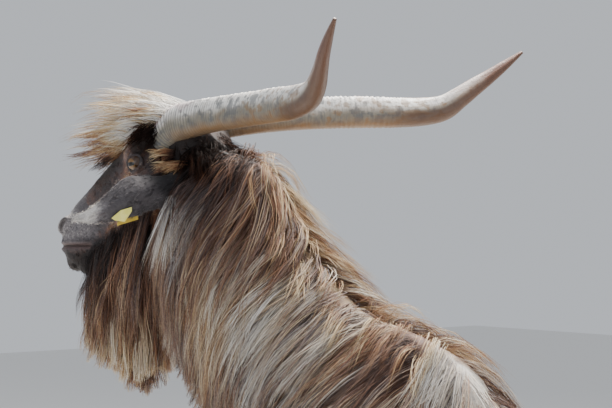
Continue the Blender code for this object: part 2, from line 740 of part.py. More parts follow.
def main():
    clear_scene()
    torso = part_torso(build_torso())
    head = build_head()
    eyes = build_eyes()
    horns = {side: build_horn(side) for side in SIDES}
    ears = {side: build_ear(side) for side in SIDES}
    plate, strip, pin = build_tag()
    forelock = build_tuft("forelock", FORELOCK_FORMS, "coat_cream")
    beard = build_tuft("beard", BEARD_FORMS, "coat_brown")
    tail = build_tail()

    carve(forelock, head, *horns.values(), *eyes.values())
    carve(torso["neck_upper"], head, *horns.values())
    carve(torso["neck_upper"], *ears.values(), gap=LOOSE_GAP)
    carve(beard, head, torso["neck_upper"], torso["neck_lower"])
    carve(head, *eyes.values(), *horns.values())
    carve(head, *ears.values(), gap=LOOSE_GAP)
    carve(ears["left"], pin)
    carve(torso["rump"], tail, gap=LOOSE_GAP)
    build_legs(torso)

    mouth = (MOUTH_FRONT - MOUTH_CORNER).normalized()
    below = HEAD.to_3x3() @ Vector((mouth.z, 0.0, -mouth.x))
    jaw, head = part_by_planes(head, ((HEAD @ MOUTH_CORNER, below),))
    rename(jaw, "lower_jaw", "coat_grey")
    rename(head, "head", "coat_grey")
    stand_at_origin()


main()
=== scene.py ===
"""A long-haired landrace buck as a still, life-size model.

The goat faces -X with its left side towards -Y. One skin takes the place of the flesh of the
frame and lies under the coat, which is made of closed, tapering hairs in locks. The horns,
eyes, hooves and the ear tag are pieces of their own. Every piece rides on the one body.
"""

import logging
import math
import sys
from collections.abc import Callable, Iterator, Sequence
from contextlib import contextmanager
from dataclasses import dataclass, field, replace
from enum import Enum, IntEnum
from typing import Any

import bmesh
import bpy
import numpy as np
from mathutils import Matrix, Vector
from mathutils.bvhtree import BVHTree
from mathutils.kdtree import KDTree


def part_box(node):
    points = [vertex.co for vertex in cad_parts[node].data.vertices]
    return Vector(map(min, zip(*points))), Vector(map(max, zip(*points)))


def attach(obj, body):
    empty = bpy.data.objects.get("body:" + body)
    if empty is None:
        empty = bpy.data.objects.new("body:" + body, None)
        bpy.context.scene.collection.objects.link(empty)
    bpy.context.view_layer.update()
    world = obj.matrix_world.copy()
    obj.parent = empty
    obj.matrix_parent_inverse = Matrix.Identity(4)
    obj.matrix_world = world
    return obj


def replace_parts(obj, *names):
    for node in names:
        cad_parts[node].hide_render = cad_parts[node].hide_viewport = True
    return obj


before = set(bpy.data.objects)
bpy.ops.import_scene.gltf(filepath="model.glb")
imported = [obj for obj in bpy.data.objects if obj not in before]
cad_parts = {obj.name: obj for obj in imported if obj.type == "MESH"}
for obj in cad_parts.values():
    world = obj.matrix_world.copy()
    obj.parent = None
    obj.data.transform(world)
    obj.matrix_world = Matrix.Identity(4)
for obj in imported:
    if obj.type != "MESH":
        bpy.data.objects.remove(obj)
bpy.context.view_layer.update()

log = logging.getLogger("goat")

Array = np.ndarray
Generator = np.random.Generator
Pair = tuple[float, float]
Triple = tuple[float, float, float]
Colour = tuple[float, float, float]
Thing = bpy.types.Object
Mesh = bpy.types.Mesh
Socket = bpy.types.NodeSocket
Material = bpy.types.Material

# How densely places are wanted, from the places and the names of the nodes they are over.
Wish = Callable[[Array, list[str]], Array]
# The way and length of short hair and how far it stands off, from the places of its roots.
Flow = Callable[[Array], tuple[Array, Array, Array]]

BODY = "root"
BAKE_MAP = "OFBake"
SEED = 20
DOWN = np.array((0.0, 0.0, -1.0))
# Lengths in metres: how near the floor a hair may come, and what counts as one point.
FLOOR_GAP = 0.0025
SAME_POINT = 1e-5
# Points along a falling lock and a short one, and the corners of a hair's section.
KNOTS = 9
SHORT_KNOTS = 4
HAIR_SIDES = 3
# Rounds of averaging that take the CAD solids' facets out of the normals.
NORMAL_ROUNDS = 6
# The share of the bake map that one hair takes up.
TUFT_PATCH = 0.003
# Hair that varies little from lock to lock.
EVEN = {"lock_range": 0.2, "hair_range": 0.2}


class Side(Enum):
    """The goat's left, towards -Y, and its right."""

    LEFT = "left"
    RIGHT = "right"

    @property
    def sign(self) -> float:
        """1 on the left and -1 on the right, as the head's own Y runs."""
        return 1.0 if self is Side.LEFT else -1.0


class Region(IntEnum):
    """The regions of the skin, which tell where short fur grows."""

    BODY = 0
    HEAD = 1
    EAR_LEFT = 2
    EAR_RIGHT = 3
    EAR_ROOT = 4
    BARE = 5


class Slot(Enum):
    """The material slots of the record, which hair finishes name; no piece is given one here."""

    BROWN = "coat_brown"
    CREAM = "coat_cream"
    GREY = "coat_grey"
    HORN = "horn"
    HOOF = "hoof"
    EYE = "eye"
    TAG = "tag_yellow"


# --- Number work


def unit(vectors: Array) -> Array:
    """The vectors scaled to length 1."""
    return vectors / np.maximum(np.linalg.norm(vectors, axis=-1, keepdims=True), 1e-9)


def smoothstep(values: Array, low: float, high: float) -> Array:
    """0 below low, 1 above high, and a smooth rise between."""
    t = np.clip((values - low) / (high - low), 0.0, 1.0)
    return t * t * (3 - 2 * t)


def bell(values: Array, width: float | Array, middle: float | Array = 0.0, power: int = 2) -> Array:
    """1 at the middle, falling to almost 0 within twice the width; a higher power is steeper."""
    return np.exp(-(((values - middle) / width) ** power))


def catmull(rows: Sequence[Sequence[float]], steps: int) -> Array:
    """Rows of numbers on a Catmull-Rom curve.

    Args:
        rows: The rows that the curve goes through.
        steps: How many spans each gap between two rows is divided into.

    Returns:
        An array of steps * (len(rows) - 1) + 1 rows.
    """
    table = np.array(rows, float)
    padded = np.vstack([table[:1], table, table[-1:]])
    t = np.arange(steps)[:, None] / steps
    spans = []
    for before, start, end, after in zip(padded, padded[1:], padded[2:], padded[3:]):
        square = 2 * before - 5 * start + 4 * end - after
        cube = 3 * start - before - 3 * end + after
        spans.append(0.5 * (2 * start + (end - before) * t + square * t**2 + cube * t**3))
    return np.vstack([*spans, table[-1:]])


def moved(points: Array, place: Matrix) -> Array:
    """Points taken through a 4x4 matrix."""
    turn = np.array(place, float)
    return points @ turn[:3, :3].T + turn[:3, 3]


def square_to(vectors: Array, axis: Array) -> Array:
    """What is left of the vectors at right angles to an axis of length 1."""
    return vectors - axis * (vectors * axis).sum(-1, keepdims=True)


def areas(corners: Array) -> Array:
    """Twice the area of each triangle, from its three corners."""
    cross = np.cross(corners[:, 1] - corners[:, 0], corners[:, 2] - corners[:, 0])
    return np.linalg.norm(cross, axis=1)


def turned(ways: Array, place: Matrix) -> Array:
    """Directions taken through the rotation of a matrix."""
    return ways @ np.array(place.to_3x3(), float).T


def mirrored(own: Array) -> Array:
    """Points of the head's frame, all brought to its left side."""
    return np.abs(own * (0, 1, 0)) + own * (1, 0, 1)


def relaxed(values: Array, edges: Array, rounds: int) -> Array:
    """Values at the points of a mesh, each round halfway to their neighbours' mean.

    Args:
        values: One row for each point.
        edges: Pairs of point numbers.
        rounds: How often to average.

    Returns:
        The smoothed values, in the same shape.
    """
    flat = values.reshape(len(values), -1).astype(float)
    one, two = edges[:, 0], edges[:, 1]
    count = np.bincount(np.concatenate([one, two]), minlength=len(flat)).clip(1)
    for _ in range(rounds):
        for column in range(flat.shape[1]):
            line = flat[:, column]
            total = np.bincount(one, line[two], len(flat)) + np.bincount(two, line[one], len(flat))
            flat[:, column] = line + 0.5 * (total / count - line)
    return flat.reshape(values.shape)


# --- Meshes


def pulled(items: Any, key: str, width: int, kind: type = np.int32) -> Array:
    """Reads one property of every item of a mesh's collection.

    Args:
        items: The collection.
        key: The property's name.
        width: How many numbers each item has.
        kind: The type of the numbers.

    Returns:
        One row for each item.
    """
    values = np.empty(len(items) * width, kind)
    items.foreach_get(key, values)
    return values.reshape(-1, width)


def points_of(mesh: Mesh) -> Array:
    """The points of a mesh, one row each."""
    return pulled(mesh.vertices, "co", 3, np.float32).astype(float)


def normals_of(mesh: Mesh) -> Array:
    """The normals at the points of a mesh."""
    return pulled(mesh.vertex_normals, "vector", 3, np.float32).astype(float)


def edges_of(mesh: Mesh) -> Array:
    """The edges of a mesh as pairs of point numbers."""
    return pulled(mesh.edges, "vertices", 2)


def triangles_of(mesh: Mesh) -> Array:
    """The triangles of a mesh as point numbers."""
    mesh.calc_loop_triangles()
    return pulled(mesh.loop_triangles, "vertices", 3)


def put_points(mesh: Mesh, points: Array) -> None:
    """Gives a mesh's points new places."""
    mesh.vertices.foreach_set("co", points.astype(np.float32).ravel())
    mesh.update()


def new_mesh(name: str, points: Array, *faces: Array) -> Mesh:
    """A smooth-shaded mesh from arrays.

    Args:
        name: The mesh's name.
        points: One row for each point.
        faces: Arrays of faces, each array with faces of one number of corners.

    Returns:
        The mesh.
    """
    mesh = bpy.data.meshes.new(name)
    kept = [block.astype(np.int32) for block in faces if len(block)]
    corners = np.concatenate([block.ravel() for block in kept])
    sizes = np.concatenate([np.full(len(block), block.shape[1], np.int32) for block in kept])
    starts = np.concatenate([[0], np.cumsum(sizes)[:-1]]).astype(np.int32)
    mesh.vertices.add(len(points))
    mesh.vertices.foreach_set("co", points.astype(np.float32).ravel())
    mesh.loops.add(len(corners))
    mesh.loops.foreach_set("vertex_index", corners)
    mesh.polygons.add(len(sizes))
    mesh.polygons.foreach_set("loop_start", starts)
    mesh.update(calc_edges=True)
    mesh.validate()
    mesh.shade_smooth()
    return mesh


def store(mesh: Mesh, name: str, values: Array) -> None:
    """Keeps a vector at each point of a mesh as a named attribute."""
    attribute = mesh.attributes.new(name, "FLOAT_VECTOR", "POINT")
    attribute.data.foreach_set("vector", values.astype(np.float32).ravel())


def linked(name: str, data: bpy.types.ID) -> Thing:
    """An object in the scene with this mesh, lamp or camera.

    Args:
        name: The object's name.
        data: What it shows.

    Returns:
        The object.
    """
    obj = bpy.data.objects.new(name, data)
    bpy.context.scene.collection.objects.link(obj)
    return obj


@contextmanager
def reworked(mesh: Mesh, *sources: Mesh) -> Iterator[bmesh.types.BMesh]:
    """Opens a mesh for editing, and keeps what was made of it.

    Args:
        mesh: The mesh that takes the result.
        sources: The meshes to start from, with none for the mesh itself.

    Yields:
        The mesh as a BMesh.
    """
    bm = bmesh.new()
    for source in sources or (mesh,):
        bm.from_mesh(source)
    yield bm
    bm.to_mesh(mesh)
    bm.free()


def turn_outward(mesh: Mesh) -> None:
    """Turns the faces of a closed mesh outward."""
    with reworked(mesh) as bm:
        bmesh.ops.recalc_face_normals(bm, faces=bm.faces)


def discard(*objects: Thing) -> None:
    """Removes helper objects."""
    for obj in objects:
        bpy.data.objects.remove(obj, do_unlink=True)


def baked(obj: Thing) -> Thing:
    """Replaces an object's mesh by what its modifiers make of it.

    Args:
        obj: The object, which keeps its place in the scene.

    Returns:
        The same object.
    """
    bpy.context.view_layer.update()
    graph = bpy.context.evaluated_depsgraph_get()
    mesh = bpy.data.meshes.new_from_object(obj.evaluated_get(graph))
    obj.modifiers.clear()
    obj.data = mesh
    return obj


def fused(name: str, meshes: Sequence[Mesh], voxel: float, smoothing: int) -> Thing:
    """One closed body from meshes that overlap.

    Args:
        name: The body's name.
        meshes: Closed meshes in world space.
        voxel: The size of the cells it is rebuilt with.
        smoothing: How often the result is smoothed.

    Returns:
        The new object.
    """
    body = linked(name, bpy.data.meshes.new(name))
    with reworked(body.data, *meshes):
        pass
    remesh = body.modifiers.new("Remesh", "REMESH")
    remesh.mode = "VOXEL"
    remesh.voxel_size = voxel
    smooth = body.modifiers.new("Smooth", "SMOOTH")
    smooth.iterations = smoothing
    smooth.factor = 0.5
    return baked(body)


def united(base: Thing, *others: Thing) -> Thing:
    """Joins closed bodies into one by Boolean union, and removes the others.

    Args:
        base: The body that takes the others in.
        others: The bodies that are joined to it.

    Returns:
        The base.
    """
    for other in others:
        modifier = base.modifiers.new("Union", "BOOLEAN")
        modifier.operation = "UNION"
        modifier.solver = "MANIFOLD"
        modifier.object = other
    baked(base)
    discard(*others)
    return base


def tube(points: Array) -> tuple[Array, list[Array]]:
    """The faces of a tube through rings of points, with its ends filled.

    Args:
        points: Rings of points, as an array of rings, corners and coordinates.

    Returns:
        The points in one list, and the arrays of faces.
    """
    rings, corners = points.shape[:2]
    ring = np.arange(rings - 1)[:, None] * corners
    here = np.arange(corners)[None, :]
    after = (here + 1) % corners
    quads = np.stack([ring + here, ring + after, ring + corners + after, ring + corners + here], -1)
    faces = [quads.reshape(-1, 4), here[:, ::-1], (rings - 1) * corners + here]
    return points.reshape(-1, 3), faces


def loft_mesh(
    name: str,
    stations: Sequence[Sequence[float]],
    place: Matrix,
    pinch: float,
    power: float,
    sides: int = 40,
) -> Mesh:
    """A closed tube along X through stations of (x, top, bottom, half width).

    Args:
        name: The mesh's name.
        stations: The stations, in the frame of place.
        place: The frame's matrix.
        pinch: How far the underside is narrowed.
        power: Over 2 squares the section.
        sides: Corners of a ring.

    Returns:
        The mesh, in world space.
    """
    rows = catmull(stations, 6)
    angle = 2 * np.pi * np.arange(sides) / sides
    across = np.sign(np.cos(angle)) * np.abs(np.cos(angle)) ** (2 / power)
    upward = np.sign(np.sin(angle)) * np.abs(np.sin(angle)) ** (2 / power)
    across = across * (1 + pinch * np.minimum(upward, 0.0))
    x, top, low, half = (rows[:, k, None] for k in range(4))
    height = (top + low) / 2 + (top - low) / 2 * upward[None]
    points, faces = tube(np.stack([x + 0 * height, half * across[None], height], -1))
    return new_mesh(name, moved(points, place), *faces)


def ellipsoid_mesh(centre: Triple, radii: Triple, place: Matrix) -> Mesh:
    """A sphere with its own three radii, in world space from the frame of place.

    Args:
        centre: Its middle in the frame of place.
        radii: Its three radii.
        place: The frame's matrix.

    Returns:
        The mesh.
    """
    mesh = bpy.data.meshes.new("ellipsoid")
    shape = place @ Matrix.Translation(centre) @ Matrix.Diagonal((*radii, 1))
    with reworked(mesh) as bm:
        bmesh.ops.create_uvsphere(bm, u_segments=32, v_segments=20, radius=1.0, matrix=shape)
    return mesh


# --- Shader maths


class Value:
    """A number in a node tree, on which Python's operators make Math nodes."""

    def __init__(self, graph: "Graph", socket: Socket) -> None:
        """Wraps an output socket of a graph."""
        self.graph = graph
        self.socket = socket

    def maths(self, operation: str, *terms: "Term") -> "Value":
        """The output of a Math node with this operation on the terms."""
        node = self.graph.node("ShaderNodeMath", {"operation": operation}, dict(enumerate(terms)))
        return Value(self.graph, node.outputs[0])

    def __add__(self, other: "Term") -> "Value":
        """self + other."""
        return self.maths("ADD", self, other)

    def __radd__(self, other: "Term") -> "Value":
        """other + self."""
        return self.maths("ADD", other, self)

    def __sub__(self, other: "Term") -> "Value":
        """self - other."""
        return self.maths("SUBTRACT", self, other)

    def __rsub__(self, other: "Term") -> "Value":
        """other - self."""
        return self.maths("SUBTRACT", other, self)

    def __mul__(self, other: "Term") -> "Value":
        """self * other."""
        return self.maths("MULTIPLY", self, other)

    def __rmul__(self, other: "Term") -> "Value":
        """other * self."""
        return self.maths("MULTIPLY", other, self)

    def __truediv__(self, other: "Term") -> "Value":
        """self / other."""
        return self.maths("DIVIDE", self, other)

    def __rtruediv__(self, other: "Term") -> "Value":
        """other / self."""
        return self.maths("DIVIDE", other, self)

    def __pow__(self, other: "Term") -> "Value":
        """self ** other."""
        return self.maths("POWER", self, other)

    def __rpow__(self, other: "Term") -> "Value":
        """other ** self."""
        return self.maths("POWER", other, self)

    def __abs__(self) -> "Value":
        """abs(self)."""
        return self.maths("ABSOLUTE", self)

    def rise(self, low: float, high: float) -> "Value":
        """0 at low and 1 at high, with a smooth rise or fall between.

        Args:
            low: Where the result is 0.
            high: Where it is 1, above low or below it.

        Returns:
            The result.
        """
        settings = {"interpolation_type": "SMOOTHSTEP"}
        inputs = {"Value": self, "From Min": low, "From Max": high}
        if low > high:
            inputs |= {"From Min": high, "From Max": low, "To Min": 1.0, "To Max": 0.0}
        return Value(self.graph, self.graph.node("ShaderNodeMapRange", settings, inputs).outputs["Result"])


Term = Value | float


class Graph:
    """The node tree of one material, with a Principled shader at its end."""

    def __init__(self, name: str) -> None:
        """Makes the material and finds its shader.

        Args:
            name: The material's name.
        """
        self.material = bpy.data.materials.new(name)
        self.material.use_nodes = True
        self.tree = self.material.node_tree
        self.shader = self.tree.nodes["Principled BSDF"]

    def feed(self, socket: Socket, value: Any) -> None:
        """Links a value or a socket to an input, or sets the input to a constant.

        Args:
            socket: The input.
            value: The value, socket or constant; a colour may leave out its alpha.
        """
        if isinstance(value, Value):
            self.tree.links.new(value.socket, socket)
        elif isinstance(value, Socket):
            self.tree.links.new(value, socket)
        elif socket.type == "RGBA" and len(value) == 3:
            socket.default_value = (*value, 1.0)
        else:
            socket.default_value = value

    def node(self, kind: str, settings: dict | None = None, inputs: dict | None = None) -> bpy.types.Node:
        """Adds a node.

        Args:
            kind: The node's type.
            settings: Its properties, or a ramp's stops under "stops", which are set first.
            inputs: Values or links for its sockets, by name or number.

        Returns:
            The node.
        """
        made = self.tree.nodes.new(kind)
        for key, value in (settings or {}).items():
            if key == "stops":
                self._set_stops(made.color_ramp, value)
            else:
                setattr(made, key, value)
        for key, value in (inputs or {}).items():
            self.feed(made.inputs[key], value)
        return made

    @staticmethod
    def _set_stops(ramp: bpy.types.ColorRamp, stops: Sequence[tuple[float, Colour]]) -> None:
        """Puts stops of (place, colour) on a colour ramp.

        Args:
            ramp: The ramp of a node.
            stops: The stops, from the lowest place up.
        """
        while len(ramp.elements) < len(stops):
            ramp.elements.new(1.0)
        for element, (place, colour) in zip(ramp.elements, stops):
            element.position = place
            element.color = (*colour, 1.0)

    def parts(self, vector: Socket) -> tuple[Value, Value, Value]:
        """The three parts of a vector."""
        outputs = self.node("ShaderNodeSeparateXYZ", inputs={0: vector}).outputs
        return Value(self, outputs[0]), Value(self, outputs[1]), Value(self, outputs[2])

    def stored(self, name: str) -> Socket:
        """The vector kept on the mesh under a name."""
        return self.node("ShaderNodeAttribute", {"attribute_name": name}).outputs["Vector"]

    def place(self) -> Socket:
        """The place in the piece's own space, which is world space."""
        return self.node("ShaderNodeTexCoord").outputs["Object"]

    def scaled(self, vector: Socket, scale: Triple, shift: Triple = (0, 0, 0)) -> Socket:
        """A vector times a scale, plus a shift."""
        settings = {"operation": "MULTIPLY_ADD"}
        return self.node("ShaderNodeVectorMath", settings, {0: vector, 1: scale, 2: shift}).outputs[0]

    def length(self, vector: Socket) -> Value:
        """The length of a vector."""
        made = self.node("ShaderNodeVectorMath", {"operation": "LENGTH"}, {0: vector})
        return Value(self, made.outputs["Value"])

    def noise(self, vector: Socket, scale: float, detail: float = 2.0) -> Value:
        """Noise from about 0 to 1 that varies scale times a metre."""
        inputs = {"Vector": vector, "Scale": scale, "Detail": detail}
        return Value(self, self.node("ShaderNodeTexNoise", inputs=inputs).outputs[0])

    def ramp(self, value: Term, stops: Sequence[tuple[float, Colour]]) -> Socket:
        """The colour that a value has on a ramp of stops."""
        return self.node("ShaderNodeValToRGB", {"stops": stops}, {0: value}).outputs[0]

    def mix(self, share: Term, one: Any, other: Any) -> Socket:
        """One colour where share is 0 and the other where it is 1."""
        return self.node("ShaderNodeMix", {"data_type": "RGBA"}, {0: share, 6: one, 7: other}).outputs[2]

    def bump(self, height: Value, depth: float) -> Socket:
        """A normal bumped by a height from 0 to 1 that stands for a depth in metres."""
        inputs = {"Height": height, "Distance": depth, "Strength": 1.0}
        return self.node("ShaderNodeBump", inputs=inputs).outputs[0]

    def end(self, **inputs: Any) -> Material:
        """Feeds the shader's inputs, named with _ for a space, and returns the material.

        Args:
            inputs: What to feed to the inputs.

        Returns:
            The material.
        """
        for name, value in inputs.items():
            self.feed(self.shader.inputs[name.replace("_", " ").title().replace("Ior", "IOR")], value)
        return self.material


# --- Finishes


WARM_SHADES = (
    (0.0, (0.016, 0.009, 0.007)),
    (0.18, (0.055, 0.026, 0.017)),
    (0.36, (0.15, 0.064, 0.036)),
    (0.52, (0.33, 0.15, 0.072)),
    (0.68, (0.6, 0.4, 0.205)),
    (0.84, (0.83, 0.69, 0.44)),
    (1.0, (0.96, 0.91, 0.82)),
)
COOL_SHADES = (
    (0.0, (0.011, 0.01, 0.012)),
    (0.18, (0.038, 0.033, 0.037)),
    (0.36, (0.094, 0.085, 0.092)),
    (0.52, (0.205, 0.19, 0.197)),
    (0.68, (0.415, 0.392, 0.382)),
    (0.84, (0.69, 0.66, 0.63)),
    (1.0, (0.91, 0.895, 0.87)),
)


@dataclass(frozen=True)
class Patch:
    """A stretch of the coat that is lighter or darker, and warmer or cooler, than the rest."""

    centre: Triple
    radii: Triple
    tone: float
    warmth: float = 0.0


@dataclass(frozen=True)
class Markings:
    """The pattern of the coat, which the skin shares.

    A tone runs from 0, black, to 1, white, and a warmth from 0, grey, to 1, red-brown.
    Patches on the body are in world space, and those on the head in the head's own frame.
    """

    tone: float = 0.5
    warmth: float = 0.56
    body: tuple[Patch, ...] = (
        # The first two patches darken the nape and the ear's root: dark brown hair, deepened with painted
        # shade from the horns.
        Patch((-0.33, -0.18, 1.045), (0.11, 0.08, 0.07), -0.3, -0.05),
        Patch((-0.36, -0.13, 1.085), (0.09, 0.1, 0.05), -0.24, 0.3),
        Patch((-0.23, -0.08, 1.02), (0.08, 0.05, 0.07), 0.14, 0.26),
        Patch((-0.18, -0.06, 0.93), (0.08, 0.045, 0.08), 0.18, 0.2),
        Patch((-0.07, -0.06, 0.86), (0.1, 0.045, 0.06), 0.24, 0.05),
        Patch((-0.335, -0.225, 0.955), (0.028, 0.05, 0.07), 0.07, -0.35),
        Patch((-0.45, -0.19, 0.91), (0.08, 0.08, 0.085), -0.13, 0.14),
        Patch((-0.52, -0.21, 0.84), (0.08, 0.09, 0.06), -0.1, 0.22),
        Patch((-0.5, -0.21, 0.755), (0.1, 0.09, 0.045), 0.18, 0.22),
        Patch((-0.26, -0.19, 0.97), (0.08, 0.08, 0.08), -0.04, 0.02),
        Patch((-0.22, -0.23, 0.85), (0.12, 0.09, 0.09), 0.13, 0.02),
        Patch((-0.12, -0.19, 0.79), (0.11, 0.1, 0.11), 0.17, -0.16),
        Patch((0.005, -0.13, 0.785), (0.06, 0.08, 0.075), -0.14, 0.05),
        Patch((0.13, -0.09, 0.775), (0.095, 0.11, 0.08), 0.32, -0.32),
        Patch((0.3, 0.0, 0.48), (0.34, 0.4, 0.11), -0.16, 0.05),
        Patch((0.52, -0.06, 0.66), (0.17, 0.22, 0.13), 0.12, -0.15),
        Patch((0.22, -0.06, 0.7), (0.06, 0.26, 0.11), -0.12, 0.1),
        Patch((-0.02, -0.06, 0.13), (0.9, 0.5, 0.21), -0.24, -0.35),
        Patch((-0.14, -0.17, 0.33), (0.3, 0.2, 0.1), -0.05, -0.1),
    )
    head: tuple[Patch, ...] = (
        Patch((0.05, 0.0, -0.025), (0.12, 0.09, 0.085), -0.24, -0.18),
        Patch((0.16, 0.0, 0.008), (0.078, 0.064, 0.058), -0.29, -0.16),
        Patch((0.24, 0.0, 0.018), (0.055, 0.045, 0.042), 0.14, -1.0),
        Patch((0.235, 0.0, -0.02), (0.08, 0.07, 0.038), -0.06, -0.55),
        Patch((0.225, 0.0, -0.078), (0.1, 0.062, 0.046), -0.42, -0.05),
        Patch((0.1, 0.056, -0.006), (0.02, 0.02, 0.02), 0.06, 0.1),
        Patch((0.1, -0.056, -0.006), (0.02, 0.02, 0.02), 0.06, 0.1),
        Patch((0.282, 0.0, -0.046), (0.052, 0.055, 0.034), -0.42, 0.15),
        Patch((0.18, 0.0, 0.037), (0.07, 0.022, 0.013), 0.26, 0.45),
        Patch((0.158, 0.168, -0.057), (0.05, 0.044, 0.036), 0.46, 0.1),
        Patch((0.158, -0.168, -0.057), (0.05, 0.044, 0.036), 0.46, 0.1),
        Patch((0.044, 0.05, 0.02), (0.04, 0.026, 0.03), -0.44, 0.5),
        Patch((0.15, 0.01, 0.045), (0.056, 0.09, 0.034), -0.36, 1.4),
    )

    def paint(self, graph: Graph, place: Socket, head: Matrix) -> tuple[Value, Value]:
        """The tone and warmth of the coat at a place.

        Args:
            graph: The material's graph.
            place: The place in world space.
            head: The head's frame.

        Returns:
            The tone and the warmth.
        """
        wander = graph.noise(place, 28.0, 3.0)
        where = head.to_euler()
        mapping = {"vector_type": "TEXTURE"}
        inputs = {"Vector": place, "Location": head.to_translation(), "Rotation": where}
        own = graph.node("ShaderNodeMapping", mapping, inputs).outputs[0]
        tone: Term = self.tone
        warmth: Term = self.warmth
        for vector, patches in ((place, self.body), (own, self.head)):
            for patch in patches:
                scale = tuple(1 / radius for radius in patch.radii)
                shift = tuple(-centre / radius for centre, radius in zip(patch.centre, patch.radii))
                reach = graph.length(graph.scaled(vector, scale, shift)) + (wander - 0.5) * 0.9
                share = reach.rise(1.15, 0.55)
                tone = share * patch.tone + tone
                if patch.warmth:
                    warmth = share * patch.warmth + warmth
        return tone, warmth


def coat_colour(graph: Graph, tone: Value, warmth: Value) -> Socket:
    """The colour of hair of a tone and a warmth."""
    return graph.mix(warmth.rise(0.0, 1.0), graph.ramp(tone, COOL_SHADES), graph.ramp(tone, WARM_SHADES))


@dataclass(frozen=True)
class HairFinish:
    """Hair: marked by where it is rooted, and varied from lock to lock and along its length."""

    name: str
    slot: Slot = Slot.BROWN
    tone: float = 0.0
    warmth: float = 0.0
    root: float = -0.1
    tip: float = 0.05
    tip_warmth: float = 0.1
    lock_range: float = 0.34
    hair_range: float = 0.28
    burnt: float = 0.0
    gloss: float = 0.34
    markings: Markings = Markings()

    def material(self, head: Matrix) -> Material:
        """The material, for hair whose mesh keeps its root and its growth.

        Args:
            head: The head's own frame.

        Returns:
            The material.
        """
        graph = Graph(self.name)
        root = graph.stored("root")
        lock, hair, along = graph.parts(graph.stored("growth"))
        tone, warmth = self.markings.paint(graph, root, head)
        streak = graph.noise(graph.scaled(root, (1.0, 1.0, 0.22)), 46.0, 2.0) - 0.5
        tone = tone + (lock - 0.5) * self.lock_range + (hair - 0.5) * self.hair_range + streak * 0.42
        tone = tone + along.rise(0.55, 0.0) * self.root + along.rise(0.45, 1.0) * self.tip + self.tone
        tint = graph.noise(root, 17.0, 1.0) - 0.5
        warmth = warmth + (hair - lock) * 0.35 + tint * 0.7
        warmth = warmth + along.rise(0.6, 1.0) * self.tip_warmth + self.warmth
        if self.burnt:
            burnt = along.rise(0.34, 0.76) * lock.rise(0.28, 0.54)
            tone = tone - burnt * self.burnt
            warmth = warmth + burnt * 1.4
        return graph.end(
            base_color=coat_colour(graph, tone, warmth),
            roughness=(hair * 0.12) + 0.42,
            specular_ior_level=self.gloss,
            sheen_weight=self.gloss * 0.15,
            sheen_roughness=0.35,
        )


@dataclass(frozen=True)
class SkinFinish:
    """Short flat fur over skin: marked as the coat is, with bare skin at the nose and lips."""

    name: str = "skin_fur"
    markings: Markings = Markings()
    nose: Colour = (0.105, 0.085, 0.092)
    lip: Colour = (0.13, 0.08, 0.072)

    def material(self, head: Matrix) -> Material:
        """The material, for a mesh that keeps what is bare, dark (mostly painted shade) and speckled on it.

        Args:
            head: The head's own frame.

        Returns:
            The material.
        """
        graph = Graph(self.name)
        place = graph.place()
        tone, warmth = self.markings.paint(graph, place, head)
        bare, dark, speckle = graph.parts(graph.stored("bare"))
        ear, lip, _ = graph.parts(graph.stored("trim"))
        fine = graph.noise(place, 900.0, 3.0)
        mottle = graph.noise(place, 130.0, 2.0)
        spots = graph.noise(place, 330.0, 2.0)
        tone = tone - ear.rise(0.0, 1.0) * 0.22 - ear.rise(0.0, -1.0) * 0.06
        tone = tone + (fine - 0.5) * 0.42 + (mottle - 0.5) * 0.16 + speckle * (spots - 0.5) * 0.55
        warmth = warmth + (mottle - 0.5) * 0.6 - abs(ear) * 0.7
        fur = coat_colour(graph, tone, warmth)
        skin = graph.mix(lip, self.nose, self.lip)
        colour = graph.mix(bare * (fine * 0.5 + 0.7), fur, skin)
        # Painted shade, near black, where the dark share is: in the nostrils, the mouth slit and inside the
        # lids, and on the lid rims.
        colour = graph.mix(dark, colour, (0.01, 0.008, 0.008))
        pores = graph.noise(place, 1500.0, 2.0)
        height = fine * 0.55 + pores * 0.15 + mottle * 0.3
        return graph.end(
            base_color=colour,
            roughness=(1 - bare) * 0.28 + 0.45,
            normal=graph.bump(height, 0.0012),
            specular_ior_level=0.32,
            sheen_weight=0.12,
            sheen_roughness=0.5,
        )


